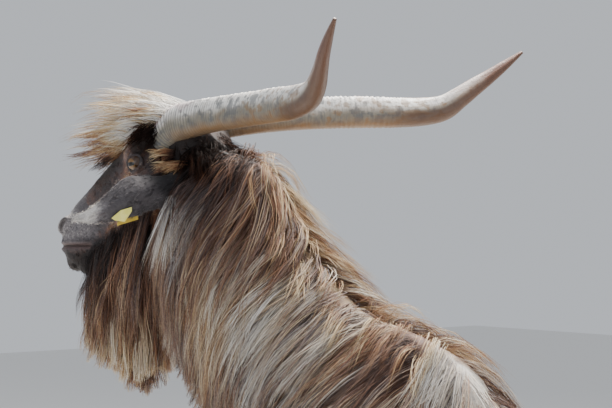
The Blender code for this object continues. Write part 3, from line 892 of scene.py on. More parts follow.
@dataclass(frozen=True)
class HornFinish:
    """Horn: cream to olive grey, with dark growth rings, an ochre lower edge and rosy tips. The cream top is
    painted light, the olive lower side and the dark rear face of the tip are painted shade, and the ochre
    lower edge is deepened with painted shade.
    """

    name: str = "ridged_horn"
    pale: Colour = (0.58, 0.53, 0.45)
    cream: Colour = (0.92, 0.9, 0.865)
    olive: Colour = (0.105, 0.096, 0.072)
    slate: Colour = (0.11, 0.12, 0.134)
    ochre: Colour = (0.26, 0.14, 0.055)
    rose: Colour = (0.2, 0.098, 0.074)
    umber: Colour = (0.1, 0.052, 0.034)
    mauve: Colour = (0.33, 0.19, 0.21)

    def material(self) -> Material:
        """The material, for a horn whose mesh keeps how it grew.

        Returns:
            The material.
        """
        graph = Graph(self.name)
        along, edge, ridge = graph.parts(graph.stored("horn"))
        place = graph.place()
        cloud = graph.noise(place, 26.0, 4.0)
        fibre = graph.noise(graph.stored("fibre"), 1.0, 3.0)
        speck = graph.noise(place, 240.0, 3.0)
        lines = graph.noise(graph.scaled(graph.stored("fibre"), (9.0, 0.45, 1.0)), 1.0, 3.0)
        # The upper side is painted lighter, in cream, as painted light from above.
        high = (edge + (cloud - 0.5) * 0.9).rise(-0.05, 0.55)
        colour = graph.mix(high, self.pale, self.cream)
        # The lower side is painted darker, in olive, as painted shade.
        painted_under_shade = (edge + (cloud - 0.5) * 1.2).rise(0.4, -0.3) * along.rise(1.05, 0.55)
        colour = graph.mix(painted_under_shade * 0.72, colour, self.olive)
        flakes = graph.noise(place, 62.0, 5.0)
        colour = graph.mix(flakes.rise(0.53, 0.62) * along.rise(0.92, 0.6) * 0.62, colour, self.slate)
        colour = graph.mix(flakes.rise(0.47, 0.38) * along.rise(0.12, 0.42) * 0.6, colour, self.ochre)
        groove = ridge.rise(0.75, 0.1) * along.rise(0.58, 0.06) * (speck * 0.6 + 0.4)
        colour = graph.mix(groove * 0.75, colour, self.olive)
        colour = graph.mix(lines.rise(0.5, 0.72) * along.rise(0.8, 0.35) * 0.55, colour, self.slate)
        # The lower edge is ochre staining, deepened with painted shade of the underside.
        low = (edge + (cloud - 0.5) * 0.8).rise(-0.25, -0.9)
        ochre_and_painted_shade = low * (fibre * 0.7 + 0.35) * along.rise(0.02, 0.16)
        colour = graph.mix(ochre_and_painted_shade * 0.92, colour, self.ochre)
        stain = (fibre * 0.6 + cloud * 0.4).rise(0.46, 0.6) * along.rise(0.4, 0.66)
        colour = graph.mix(stain * 0.66, colour, self.ochre)
        colour = graph.mix(along.rise(0.66, 0.92) * (cloud * 0.6 + 0.62), colour, self.rose)
        # The rear face of the tip is painted dark as shade.
        rear = along.rise(0.5, 0.66) * (edge + (fibre - 0.5) * 0.5).rise(0.25, -0.25)
        colour = graph.mix(rear * 0.8, colour, self.umber)
        base = along.rise(0.19, 0.09) * edge.rise(0.25, 0.85) * cloud.rise(0.3, 0.55)
        colour = graph.mix(base * 0.75, colour, self.mauve)
        colour = graph.mix(speck.rise(0.6, 0.78) * 0.25, colour, self.olive)
        height = fibre * 0.5 + speck * 0.3 + flakes * 0.4
        return graph.end(
            base_color=colour,
            roughness=(speck * 0.22) + 0.34 + groove * 0.16,
            normal=graph.bump(height, 0.0012),
            specular_ior_level=0.3,
        )


@dataclass(frozen=True)
class EyeFinish:
    """A goat's eye: an amber iris with a bar pupil, set in a dark globe under a wet surface."""

    name: str = "amber_eye"
    amber: Colour = (0.13, 0.056, 0.014)
    gold: Colour = (0.27, 0.14, 0.036)
    rim: Colour = (0.05, 0.022, 0.01)
    pupil: Colour = (0.003, 0.003, 0.004)
    iris_size: float = 0.62
    pupil_length: float = 0.54
    pupil_height: float = 0.19

    def material(self) -> Material:
        """The material, for a globe that keeps its gaze: along, up and outward.

        Returns:
            The material.
        """
        graph = Graph(self.name)
        gaze = graph.stored("gaze")
        along, up, _ = graph.parts(gaze)
        reach = graph.length(graph.scaled(gaze, (1.0, 1.0, 0.0)))
        rays = graph.noise(graph.scaled(gaze, (7.0, 7.0, 1.0)), 3.0, 3.0)
        iris = graph.mix(rays.rise(0.38, 0.66), self.amber, self.gold)
        iris = graph.mix(reach.rise(self.iris_size * 0.78, self.iris_size), iris, self.rim)
        bar = (abs(along / self.pupil_length) ** 4.0) + (abs(up / self.pupil_height) ** 3.0)
        colour = graph.mix(bar.rise(1.15, 0.85), iris, self.pupil)
        return graph.end(
            base_color=colour,
            roughness=0.16,
            coat_weight=0.55,
            coat_roughness=0.03,
            specular_ior_level=0.35,
        )


@dataclass(frozen=True)
class HoofFinish:
    """Hoof horn: dark grey-brown, paler at the worn edge, with growth lines."""

    name: str = "hoof_horn"
    dark: Colour = (0.05, 0.04, 0.036)
    pale: Colour = (0.19, 0.15, 0.115)

    def material(self) -> Material:
        """The material, in world space.

        Returns:
            The material.
        """
        graph = Graph(self.name)
        place = graph.place()
        _, _, height = graph.parts(place)
        rings = graph.noise(graph.scaled(place, (12.0, 12.0, 420.0)), 1.0, 2.0)
        fibre = graph.noise(graph.scaled(place, (700.0, 700.0, 30.0)), 1.0, 2.0)
        colour = graph.mix(fibre.rise(0.4, 0.7) * 0.6, self.dark, self.pale)
        colour = graph.mix(height.rise(0.012, 0.0) * 0.55, colour, self.pale)
        return graph.end(
            base_color=colour,
            roughness=(fibre * 0.25) + 0.38,
            normal=graph.bump(rings * 0.7 + fibre * 0.3, 0.0009),
        )


@dataclass(frozen=True)
class TagFinish:
    """Moulded plastic of an ear tag: yellow, dulled by handling and specked with dirt."""

    name: str
    colour: Colour
    faded: Colour
    dirt: Colour = (0.16, 0.12, 0.05)

    def material(self) -> Material:
        """The material, in world space.

        Returns:
            The material.
        """
        graph = Graph(self.name)
        place = graph.place()
        cloud = graph.noise(place, 90.0, 3.0)
        grain = graph.noise(place, 1600.0, 3.0)
        colour = graph.mix(cloud.rise(0.38, 0.66), self.colour, self.faded)
        colour = graph.mix(grain.rise(0.62, 0.8) * 0.45, colour, self.dirt)
        return graph.end(
            base_color=colour,
            roughness=(grain * 0.25) + 0.32,
            normal=graph.bump(grain, 0.00012),
            specular_ior_level=0.5,
        )


# --- Where the head is, and its pieces


@dataclass(frozen=True)
class HeadPose:
    """The head's frames, found from the two eyes of the CAD frame.

    The level frame has X forward and Y to the goat's left. The head's own frame is pitched
    down from it, so that X runs from the poll to the lips. Both start at the poll.
    """

    yaw: float = 23.0
    pitch: float = 37.0
    eye_station: Triple = (0.084, 0.05, -0.009)

    @property
    def turn(self) -> Matrix:
        """The rotation of the level frame."""
        return Matrix.Rotation(math.pi + math.radians(self.yaw), 4, "Z")

    @property
    def poll(self) -> Vector:
        """The poll, in world space.

        Returns:
            The point from which both eyes stand where the eye station says.
        """
        corners = [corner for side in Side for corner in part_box(f"eye_{side.value}")]
        between = sum(corners, Vector()) / len(corners)
        x, _, z = self.eye_station
        return between - (self.turn @ self.nod) @ Vector((x, 0.0, z))

    @property
    def nod(self) -> Matrix:
        """The rotation from the level frame to the head's own."""
        return Matrix.Rotation(math.radians(self.pitch), 4, "Y")

    @property
    def level(self) -> Matrix:
        """The level frame."""
        return Matrix.Translation(self.poll) @ self.turn

    @property
    def head(self) -> Matrix:
        """The head's own frame."""
        return self.level @ self.nod

    def own(self, points: Array) -> Array:
        """Points of world space in the head's own frame."""
        return moved(points, self.head.inverted())

    def levelled(self, points: Array) -> Array:
        """Points of world space in the level frame."""
        return moved(points, self.level.inverted())

    def eye(self, side: Side) -> Vector:
        """The middle of an eye, in the head's own frame."""
        x, y, z = self.eye_station
        return Vector((x, side.sign * y, z))


def new_piece(name: str, mesh: Mesh, material: Material) -> Thing:
    """A finished piece that rides on the body.

    Args:
        name: The piece's name.
        mesh: Its mesh, in world space.
        material: Its material.

    Returns:
        The object.
    """
    mesh.materials.clear()
    mesh.materials.append(material)
    obj = linked(name, mesh)
    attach(obj, BODY)
    log.info("%s: %d points, %d faces", name, len(mesh.vertices), len(mesh.polygons))
    return obj


@dataclass
class Horn:
    """A horn: a keeled blade with growth rings that sweeps back, out and up.

    Each row of the course holds how far back, out and up from the poll it is, the blade's
    depth and thickness, and its turn, from 0 where it stands on edge to 1 at the tip.
    """

    side: Side
    pose: HeadPose
    finish: HornFinish = HornFinish()
    course: tuple[tuple[float, ...], ...] = (
        (-0.036, 0.027, -0.034, 0.056, 0.036, 0.0),
        (-0.014, 0.034, -0.008, 0.057, 0.038, 0.0),
        (0.012, 0.042, 0.003, 0.055, 0.037, 0.0),
        (0.058, 0.055, 0.01, 0.051, 0.034, 0.0),
        (0.112, 0.072, 0.015, 0.049, 0.032, 0.05),
        (0.162, 0.095, 0.018, 0.048, 0.031, 0.12),
        (0.213, 0.13, 0.02, 0.048, 0.03, 0.25),
        (0.258, 0.172, 0.02, 0.046, 0.029, 0.5),
        (0.291, 0.205, 0.022, 0.043, 0.028, 0.75),
        (0.316, 0.225, 0.028, 0.039, 0.026, 0.9),
        (0.334, 0.242, 0.043, 0.033, 0.023, 1.0),
        (0.35, 0.263, 0.06, 0.028, 0.018, 1.0),
        (0.366, 0.286, 0.077, 0.022, 0.015, 1.0),
        (0.384, 0.308, 0.096, 0.015, 0.011, 1.0),
        (0.404, 0.33, 0.117, 0.005, 0.005, 1.0),
    )
    keel: float = 0.28
    edge_at_base: Triple = (0.0, 0.0, 1.0)
    edge_at_tip: Triple = (0.527, -0.268, 0.807)
    steps: int = 26
    corners: int = 40
    ring_gap: float = 0.0058
    ring_depth: float = 0.00085

    def build(self) -> Thing:
        """Makes the horn in place of its CAD node.

        Returns:
            The horn.
        """
        rows = catmull(self.course, self.steps)
        sign = self.side.sign
        centres = np.stack([-rows[:, 0], sign * rows[:, 1], rows[:, 2]], 1)
        ahead = unit(np.gradient(centres, axis=0))
        tip_edge = np.array(self.edge_at_tip) * (1.0, sign, 1.0)
        edge = np.array(self.edge_at_base) * (1 - rows[:, 5:6]) + tip_edge * rows[:, 5:6]
        thick = unit(np.cross(ahead, edge))
        edge = np.cross(thick, ahead)
        run = np.concatenate([[0], np.cumsum(np.linalg.norm(np.diff(centres, axis=0), axis=1))])
        along = run / run[-1]

        angle = 2 * np.pi * np.arange(self.corners) / self.corners
        high, wide = np.cos(angle)[None], np.sin(angle)[None]
        ridge, fade = self._rings(run, along, angle)
        swell = 1 + (ridge - 0.5) * 2 * self.ring_depth * fade / (rows[:, 4:5] / 2)
        keeled = 1 - self.keel * high
        across = edge[:, None] * (rows[:, 3:4] / 2 * high * swell)[..., None]
        across = across + thick[:, None] * (rows[:, 4:5] / 2 * wide * keeled * swell)[..., None]
        points, faces = tube(centres[:, None] + across)
        mesh = new_mesh(f"horn_{self.side.value}_ridged", moved(points, self.pose.level), *faces)
        shape = (len(rows), self.corners)
        store(mesh, "horn", self._per_point(along[:, None], high, ridge, shape))
        fibre = (run[:, None] * 26, angle[None] * 2.6, self.side.sign * np.ones((1, 1)) * 3)
        store(mesh, "fibre", self._per_point(*fibre, shape))
        obj = new_piece(mesh.name, mesh, self.finish.material())
        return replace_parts(obj, f"horn_{self.side.value}")

    def _rings(self, run: Array, along: Array, angle: Array) -> tuple[Array, Array]:
        """The growth rings' height from 0 to 1 at each point, and how strongly they show.

        Args:
            run: The length of the horn as far as each ring of points, in metres.
            along: The same as a share of the whole length.
            angle: The angle of each corner of a ring.

        Returns:
            The height and the strength, by ring and corner.
        """
        rng = np.random.default_rng(SEED + int(self.side.sign))
        jitter = np.interp(run, np.linspace(0, run[-1], 40), rng.uniform(-0.35, 0.35, 40))
        tilt = 0.25 * np.cos(angle)[None] + 0.1 * np.sin(2 * angle)[None]
        count = run * (1 + 0.6 * along) / self.ring_gap + jitter
        phase = (count[:, None] + tilt) % 1.0
        ridge = np.where(phase < 0.72, np.sin(phase / 0.72 * np.pi) ** 0.6, 0.0)
        uneven = 0.7 + 0.3 * np.sin(count * 2.4)[:, None]
        fade = (1 - smoothstep(along, 0.45, 0.85))[:, None] * uneven * (0.75 + 0.25 * np.cos(angle)[None])
        return ridge, fade

    @staticmethod
    def _per_point(one: Array, two: Array, three: Array, shape: tuple[int, int]) -> Array:
        """Three arrays spread over the rings and corners, as one vector for each point."""
        return np.stack([np.broadcast_to(part, shape).ravel() for part in (one, two, three)], 1)


@dataclass
class Ear:
    """An ear: a leaf that is rolled at its root, and opens forwards and down.

    Each row of the leaf holds x, y and z of its middle rib in the level frame, its half
    width and its curl in degrees.
    """

    side: Side
    pose: HeadPose
    leaf: tuple[tuple[float, ...], ...] = (
        (-0.018, 0.044, -0.068, 0.028, 240.0),
        (-0.015, 0.068, -0.084, 0.033, 200.0),
        (-0.005, 0.089, -0.095, 0.034, 150.0),
        (0.01, 0.108, -0.1, 0.031, 115.0),
        (0.022, 0.124, -0.105, 0.032, 85.0),
        (0.048, 0.145, -0.124, 0.021, 70.0),
        (0.071, 0.159, -0.135, 0.011, 55.0),
        (0.094, 0.171, -0.139, 0.003, 30.0),
    )
    back: Triple = (-0.454, 0.891, 0.1)
    steps: int = 9
    columns: int = 28
    thickness: float = 0.004
    rim: float = 0.0013

    def grid(self) -> tuple[Array, Array, Array, Array]:
        """The leaf in world space.

        Returns:
            Its points and its outward normals, each by row and column, then the share of
            the way to the tip of each row and the share across of each column.
        """
        rows = catmull(self.leaf, self.steps)
        mirror = np.array((1.0, self.side.sign, 1.0))
        rib = rows[:, :3] * mirror
        along = unit(np.gradient(rib, axis=0))
        across = unit(np.cross(along, np.array(self.back) * mirror)) * self.side.sign
        behind = np.cross(across, along) * self.side.sign
        curl = np.radians(rows[:, 3 + 1])[:, None]
        radius = 2 * np.maximum(rows[:, 3:4], 0.003) / curl
        share = np.linspace(-0.5, 0.5, self.columns)[None]
        turn = (curl * share)[..., None]
        radius = radius[..., None]
        points = rib[:, None] + across[:, None] * radius * np.sin(turn)
        points = points - behind[:, None] * radius * (1 - np.cos(turn))
        normals = across[:, None] * np.sin(turn) + behind[:, None] * np.cos(turn)
        shape = points.shape
        points = moved(points.reshape(-1, 3), self.pose.level).reshape(shape)
        normals = turned(normals.reshape(-1, 3), self.pose.level).reshape(shape)
        return points, normals, np.linspace(0, 1, len(rows)), share[0]

    def build(self) -> Thing:
        """The ear as one closed body, to be joined to the skin.

        Returns:
            The ear, in world space.
        """
        points, normals, reach, share = self.grid()
        edge = (1 - (2 * np.abs(share)) ** 3)[None] * (1 - reach[:, None] ** 4)
        folds = 0.0011 * np.cos(share * 9.0)[None] * np.sin(np.pi * reach[:, None])
        rib = 0.0016 * bell(share, 0.1)[None] * (1 - reach[:, None])
        half = (self.rim + (self.thickness - self.rim) * edge) / 2
        outer = points + normals * (half + rib + folds)[..., None]
        inner = points + normals * (folds - half)[..., None]
        ring = np.concatenate([outer, inner[:, ::-1]], 1)
        flat, faces = tube(ring)
        mesh = new_mesh(f"ear_{self.side.value}_leaf", flat, *faces)
        turn_outward(mesh)
        return linked(mesh.name, mesh)


@dataclass
class Eye:
    """One eyeball: a globe with a raised cornea, turned a little forward of straight out."""

    side: Side
    pose: HeadPose
    finish: EyeFinish = EyeFinish()
    radius: float = 0.014
    gaze: Triple = (0.3, 0.94, 0.1)
    bulge: float = 0.001
    lid_tilt: float = 0.06
    pupil_tilt: float = 0.6

    def axes(self, tilt: float) -> Array:
        """The eye's own axes in the head's frame: along a slit that rises by tilt, up, and out.

        Args:
            tilt: How much the slit rises towards the muzzle.

        Returns:
            Three rows, each a direction of length 1.
        """
        out = unit(np.array(self.gaze) * (1.0, self.side.sign, 1.0))
        along = np.array((1.0, 0.0, tilt))
        along = unit(along - out * (along @ out))
        up = np.cross(out, along) * (-self.side.sign)
        return np.stack([along, up * math.copysign(1.0, up[2]), out])

    def build(self) -> Thing:
        """Makes the eyeball in place of its CAD node.

        Returns:
            The eyeball.
        """
        mesh = bpy.data.meshes.new(f"eye_{self.side.value}_globe")
        with reworked(mesh) as bm:
            bmesh.ops.create_uvsphere(bm, u_segments=48, v_segments=32, radius=1.0)
        gaze = points_of(mesh)
        reach = np.linalg.norm(gaze[:, :2], axis=1)
        swell = self.radius + self.bulge * bell(reach, 0.55, power=4) * (gaze[:, 2] > 0)
        own = (gaze * swell[:, None]) @ self.axes(self.pupil_tilt) + np.array(self.pose.eye(self.side))
        put_points(mesh, moved(own, self.pose.head))
        turn_outward(mesh)
        mesh.shade_smooth()
        store(mesh, "gaze", gaze)
        obj = new_piece(mesh.name, mesh, self.finish.material())
        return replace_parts(obj, f"eye_{self.side.value}")


@dataclass
class Hooves:
    """The claws and dewclaws, rounded from the CAD frame's own solids."""

    finish: HoofFinish = HoofFinish()
    claw_round: float = 0.0022
    dewclaw_round: float = 0.0016

    def build(self) -> list[Thing]:
        """Makes every claw and dewclaw in place of its CAD node.

        Returns:
            The claws and dewclaws.
        """
        material = self.finish.material()
        made = []
        for name in sorted(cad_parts):
            if "claw" not in name:
                continue
            width = self.dewclaw_round if "dewclaw" in name else self.claw_round
            mesh = rounded_copy(name, width, 2)
            obj = new_piece(f"{name}_horn", mesh, material)
            made.append(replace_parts(obj, name))
        return made


def rounded_copy(node: str, width: float, segments: int) -> Mesh:
    """A copy of a CAD node's mesh with its edges rounded.

    Args:
        node: The CAD node.
        width: How far from an edge the rounding starts.
        segments: How many faces round each edge.

    Returns:
        The mesh.
    """
    mesh = bpy.data.meshes.new(f"{node}_rounded")
    with reworked(mesh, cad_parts[node].data) as bm:
        bmesh.ops.remove_doubles(bm, verts=bm.verts, dist=SAME_POINT)
        bmesh.ops.dissolve_limit(bm, angle_limit=math.radians(3), verts=bm.verts, edges=bm.edges)
        bmesh.ops.recalc_face_normals(bm, faces=bm.faces)
    obj = linked(mesh.name, mesh)
    bevel = obj.modifiers.new("Round", "BEVEL")
    bevel.width = width
    bevel.segments = segments
    bevel.limit_method = "ANGLE"
    bevel.angle_limit = math.radians(25)
    baked(obj)
    mesh = obj.data
    discard(obj)
    mesh.shade_smooth()
    mesh.set_sharp_from_angle(angle=math.radians(50))
    return mesh


@dataclass
class EarTag:
    """The blank ear tag: a plate, a strip and the pin that joins them through the ear."""

    plate: TagFinish = TagFinish("tag_pale_yellow", (0.84, 0.79, 0.17), (0.92, 0.87, 0.27))
    strip: TagFinish = TagFinish("tag_deep_yellow", (0.52, 0.35, 0.022), (0.64, 0.46, 0.05))
    edge: float = 0.0005

    def build(self) -> list[Thing]:
        """Makes the tag's three pieces in place of their CAD nodes.

        Returns:
            The plate, the strip and the pin.
        """
        made = []
        for name, finish in (("tag_plate", self.plate), ("tag_strip", self.strip), ("tag_pin", self.strip)):
            mesh = rounded_copy(name, self.edge, 3)
            obj = new_piece(f"{name}_moulded", mesh, finish.material())
            made.append(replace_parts(obj, name))
        return made


# --- The skin


@dataclass(frozen=True)
class Swell:
    """A soft rise or hollow of the face, on both sides where y isn't 0, in the head's frame."""

    centre: Triple
    radii: Triple
    push: float

    def height(self, own: Array) -> Array:
        """How far each point in the head's frame is pushed out."""
        reach = np.linalg.norm((mirrored(own) - self.centre) / np.array(self.radii), axis=1)
        return self.push * bell(reach, 1.0)


@dataclass
class HeadSkin:
    """The skin of the head: a skull and muzzle in one body, with lids, nostrils and lips.

    Skull rows hold x, top, bottom and half width in the head's own frame.
    """

    pose: HeadPose
    voxel: float = 0.0023
    smoothing: int = 5
    fur: float = 0.0022
    skull: tuple[tuple[float, ...], ...] = (
        (-0.035, -0.012, -0.072, 0.03),
        (-0.015, 0.006, -0.092, 0.046),
        (0.02, 0.021, -0.106, 0.054),
        (0.06, 0.034, -0.112, 0.057),
        (0.095, 0.039, -0.108, 0.056),
        (0.13, 0.037, -0.1, 0.049),
        (0.165, 0.034, -0.092, 0.041),
        (0.2, 0.03, -0.086, 0.035),
        (0.23, 0.027, -0.081, 0.032),
        (0.252, 0.02, -0.078, 0.031),
        (0.27, 0.008, -0.076, 0.029),
        (0.284, -0.007, -0.068, 0.024),
        (0.294, -0.02, -0.05, 0.011),
    )
    middle_forms: tuple[tuple[Triple, Triple], ...] = (
        ((0.05, 0.0, 0.022), (0.052, 0.038, 0.022)),
        ((0.263, 0.0, -0.058), (0.027, 0.024, 0.024)),
        ((0.268, 0.0, -0.033), (0.024, 0.021, 0.017)),
        ((0.276, 0.0, -0.043), (0.028, 0.02, 0.022)),
    )
    side_forms: tuple[tuple[Triple, Triple], ...] = (
        ((0.072, 0.045, 0.009), (0.032, 0.016, 0.016)),
        ((0.092, 0.041, -0.032), (0.042, 0.016, 0.012)),
        ((0.052, 0.034, -0.064), (0.046, 0.02, 0.036)),
        ((0.254, 0.019, 0.002), (0.021, 0.014, 0.016)),
        ((0.266, 0.013, -0.021), (0.026, 0.014, 0.013)),
    )
    swells: tuple[Swell, ...] = (
        Swell((0.036, 0.052, -0.024), (0.022, 0.02, 0.018), -0.0045),
        Swell((0.06, 0.05, 0.022), (0.014, 0.012, 0.01), -0.002),
        Swell((0.12, 0.046, -0.02), (0.014, 0.012, 0.01), -0.0025),
        Swell((0.13, 0.042, -0.036), (0.03, 0.012, 0.006), 0.0026),
        Swell((0.172, 0.036, -0.048), (0.032, 0.014, 0.014), -0.0045),
        Swell((0.17, 0.034, 0.004), (0.04, 0.01, 0.012), -0.0022),
        Swell((0.222, 0.03, -0.004), (0.016, 0.01, 0.014), -0.0022),
        Swell((0.15, 0.03, -0.084), (0.04, 0.012, 0.01), 0.0022),
        Swell((0.251, 0.028, 0.01), (0.013, 0.01, 0.007), 0.0022),
        Swell((0.258, 0.028, -0.016), (0.018, 0.012, 0.007), 0.0018),
        Swell((0.262, 0.026, -0.046), (0.016, 0.012, 0.008), 0.0014),
    )
    mouth_front: Pair = (0.294, -0.008)
    mouth_corner: Pair = (0.238, -0.049)
    mouth_depth: float = 0.0036
    mouth_width: float = 0.0024
    mouth_end: float = 0.2
    lip_swell: float = 0.0014
    lip_width: float = 0.004
    lip_height: float = 0.0055
    groove_width: float = 0.0022
    groove_depth: float = 0.0022
    nostril_ends: tuple[Triple, Triple] = ((0.249, 0.0335, 0.009), (0.274, 0.0255, -0.0075))
    nostril_bow: float = 0.0035
    nostril_rim: float = 0.0016
    nostril_width: float = 0.0042
    nostril_depth: float = 0.01
    bare_lip: float = 0.0062
    dark_mouth: float = 0.0013
    dark_nostril: float = 0.0048
    lid: float = 0.0021
    lid_rim: float = 0.0007
    lid_fold: float = 0.0011
    almond: float = 1.7
    slit_depth: float = 0.0035
    slit_length: float = 0.0122
    slit_height: float = 0.008
    fine_eye: float = 0.03
    fine_nose: float = 0.022
    fine_mouth: float = 0.01

    def build(self) -> Thing:
        """The head as one closed body in world space, to be joined to the body's skin.

        Returns:
            The head.
        """
        place = self.pose.head
        meshes = [loft_mesh("skull", self.skull, place, pinch=0.3, power=2.3)]
        meshes += [ellipsoid_mesh(*form, place) for form in self.middle_forms]
        for centre, radii in self.side_forms:
            for side in Side:
                meshes.append(ellipsoid_mesh((centre[0], side.sign * centre[1], centre[2]), radii, place))
        head = fused("head_skin", meshes, self.voxel, self.smoothing)
        self._refine(head.data, self._near_features)
        self._refine(head.data, lambda own: self._near_eyes(own, self.fine_eye * 0.8))
        self._sculpt(head.data)
        return head

    def _near_eyes(self, own: Array, reach: float) -> Array:
        """Whether each point is within reach of an eye."""
        return np.linalg.norm(mirrored(own) - np.array(self.pose.eye(Side.LEFT)), axis=1) < reach

    def _near_features(self, own: Array) -> Array:
        """Whether each point is near an eye, a nostril or the mouth.

        Args:
            own: Points in the head's frame.

        Returns:
            True or False for each point.
        """
        slit = self._nostril(own)[0] < self.fine_nose - self.nostril_width
        mouth = np.abs(self._mouth(own)[0]) < self.fine_mouth
        mouth &= self._mouth(own)[1] > -0.1
        return self._near_eyes(own, self.fine_eye) | slit | mouth

    def _refine(self, mesh: Mesh, chosen: Callable[[Array], Array]) -> None:
        """Halves the edges whose points are both chosen.

        Args:
            mesh: The head's mesh, in world space.
            chosen: Which of the points are chosen, from their places in the head's frame.
        """
        near = chosen(self.pose.own(points_of(mesh)))
        with reworked(mesh) as bm:
            edges = [edge for edge in bm.edges if all(near[vert.index] for vert in edge.verts)]
            bmesh.ops.subdivide_edges(bm, edges=edges, cuts=1, use_grid_fill=True)
            bmesh.ops.triangulate(bm, faces=[face for face in bm.faces if len(face.verts) > 4])
        mesh.update()

    def _mouth(self, own: Array) -> tuple[Array, Array]:
        """The height above the line of the mouth, and the share of the way to its corner.

        Args:
            own: Points in the head's frame.

        Returns:
            The heights in metres, and the shares, 0 at the front of the lips and 1 at the corner.
        """
        front, corner = np.array(self.mouth_front), np.array(self.mouth_corner)
        line = corner - front
        reach = np.linalg.norm(line)
        line = line / reach
        offset = own[:, (0, 2)] - front
        share = offset @ line / reach
        return line[1] * offset[:, 0] - line[0] * offset[:, 1], share

    def _nostril(self, own: Array) -> tuple[Array, Array]:
        """The distance from the middle line of a nostril, and the share of the way along it.

        Args:
            own: Points in the head's frame.

        Returns:
            The distances in metres, and the shares, 0 at the upper end and 1 at the lower.
        """
        start, end = (np.array(point) for point in self.nostril_ends)
        line = end - start
        offset = mirrored(own) - start
        share = np.clip(offset @ line / (line @ line), 0, 1)
        bow = np.array((0.0, 0.0, self.nostril_bow)) * (4 * share * (1 - share))[:, None]
        return np.linalg.norm(offset - share[:, None] * line - bow, axis=1), share

    def _sculpt(self, mesh: Mesh) -> None:
        """Moves the points of the plain head into its face.

        Args:
            mesh: The plain head, in world space.
        """
        own = self.pose.own(points_of(mesh))
        normals = turned(normals_of(mesh), self.pose.head.inverted())
        push = np.full(len(own), -self.fur)
        for swell in self.swells:
            push += swell.height(own)
        height, share = self._mouth(own)
        along = smoothstep(share, 1.06, 0.92) * (own[:, 0] > self.mouth_end)
        push -= self.mouth_depth * along * bell(height, self.mouth_width)
        push += self.lip_swell * along * bell(np.abs(height), self.lip_width, self.lip_height)
        groove = bell(own[:, 1], self.groove_width) * smoothstep(own[:, 0], 0.268, 0.284)
        groove *= smoothstep(height, 0.0, 0.004) * smoothstep(height, 0.026, 0.012)
        push -= self.groove_depth * groove
        away, run = self._nostril(own)
        width = self.nostril_width * (0.65 + 0.55 * run)
        outward = normals[:, 1] * np.sign(own[:, 1]) > -0.2
        push -= self.nostril_depth * bell(away, width, power=4) * outward
        push += self.nostril_rim * bell(away, 0.8 * width, 2.0 * width) * outward
        own = own + normals * push[:, None]
        lip = smoothstep(own[:, 0], 0.258, 0.272) * smoothstep(share, 0.5, 0.25)
        lip *= smoothstep(away, 0.008, 0.012)
        own = own + (relaxed(own, edges_of(mesh), 8) - own) * lip[:, None]
        for side in Side:
            own = self._set_lids(own, side)
        put_points(mesh, moved(own, self.pose.head))

    def _set_lids(self, own: Array, side: Side) -> Array:
        """Opens the skin over one eye and draws it into lids round the globe.

        Args:
            own: Points in the head's frame.
            side: The side of the eye.

        Returns:
            The points in their new places.
        """
        eye = Eye(side, self.pose)
        centre = np.array(self.pose.eye(side))
        offset = own - centre
        distance = np.linalg.norm(offset, axis=1)
        sunk = eye.radius / np.clip(distance, 0.3 * eye.radius, eye.radius)
        gaze = (offset * sunk[:, None]) @ eye.axes(eye.lid_tilt).T
        droop = 1 + 0.18 * (gaze[:, 1] > 0)
        almond = np.abs(gaze[:, 0] / self.slit_length) ** self.almond
        almond += np.abs(gaze[:, 1] / (self.slit_height / droop)) ** self.almond
        reach = almond ** (1 / self.almond)
        front = (gaze[:, 2] > 0.001) & (distance < 0.05)
        open_rim = smoothstep(reach, 0.86, 1.02)
        shell = eye.radius - self.slit_depth + (self.lid + self.slit_depth) * open_rim
        shell += self.lid_rim * bell(reach, 0.16, 1.25)
        shell -= self.lid_fold * bell(reach, 0.18, 1.75) * (gaze[:, 1] > 0)
        lidded = centre + offset / np.maximum(distance, 1e-6)[:, None] * shell[:, None]
        share = smoothstep(reach, 3.0, 1.7) * front
        wider = np.maximum(share, smoothstep(reach, 3.6, 2.4))
        share = np.where((distance < shell) & front, wider, share)
        return own + (lidded - own) * share[:, None]

    def bare(self, points: Array) -> tuple[Array, Array]:
        """What is bare, dark, speckled and lip on the head; the dark is painted shade in the nostrils, the
        mouth slit and inside the lids, and darkens the lid rims.

        Args:
            points: Points of the skin in world space.

        Returns:
            Bare, dark and speckled shares for each point, and then how much is lip.
        """
        own = self.pose.own(points)
        height, share = self._mouth(own)
        muzzle = smoothstep(own[:, 0], 0.185, 0.245)
        line = (own[:, 0] > self.mouth_end) * smoothstep(share, 1.1, 0.95)
        lip = line * bell(height, self.bare_lip)
        away, _ = self._nostril(own)
        pad = smoothstep(own[:, 0], 0.27, 0.286) * smoothstep(np.abs(own[:, 1]), 0.02, 0.012)
        pad *= smoothstep(height, 0.004, 0.01)
        rims = np.zeros(len(own))
        inside = np.zeros(len(own))
        for side in Side:
            eye = Eye(side, self.pose)
            gaze = (own - np.array(self.pose.eye(side))) @ eye.axes(eye.lid_tilt).T
            reach = np.hypot(gaze[:, 0] / self.slit_length, gaze[:, 1] / self.slit_height)
            near = (gaze[:, 2] > 0) * (np.linalg.norm(gaze, axis=1) < 0.022)
            rims = np.maximum(rims, near * smoothstep(reach, 1.75, 1.25))
            inside = np.maximum(inside, near * smoothstep(reach, 1.12, 0.98))
        # Painted shade: the nostrils, the mouth slit and the inside of the lids are painted near black; the
        # lid rims are darkened too.
        nostril = bell(away, self.dark_nostril, power=4)
        slit = line * bell(height, self.dark_mouth)
        bare = np.clip(0.85 * lip + 0.9 * pad + rims * 0.8 + nostril, 0, 1)
        dark = np.clip(nostril * 0.93 + slit * 0.75 + inside * 0.8 + rims * 0.72, 0, 1)
        return np.stack([bare, dark, muzzle * (1 - bare)], 1), lip


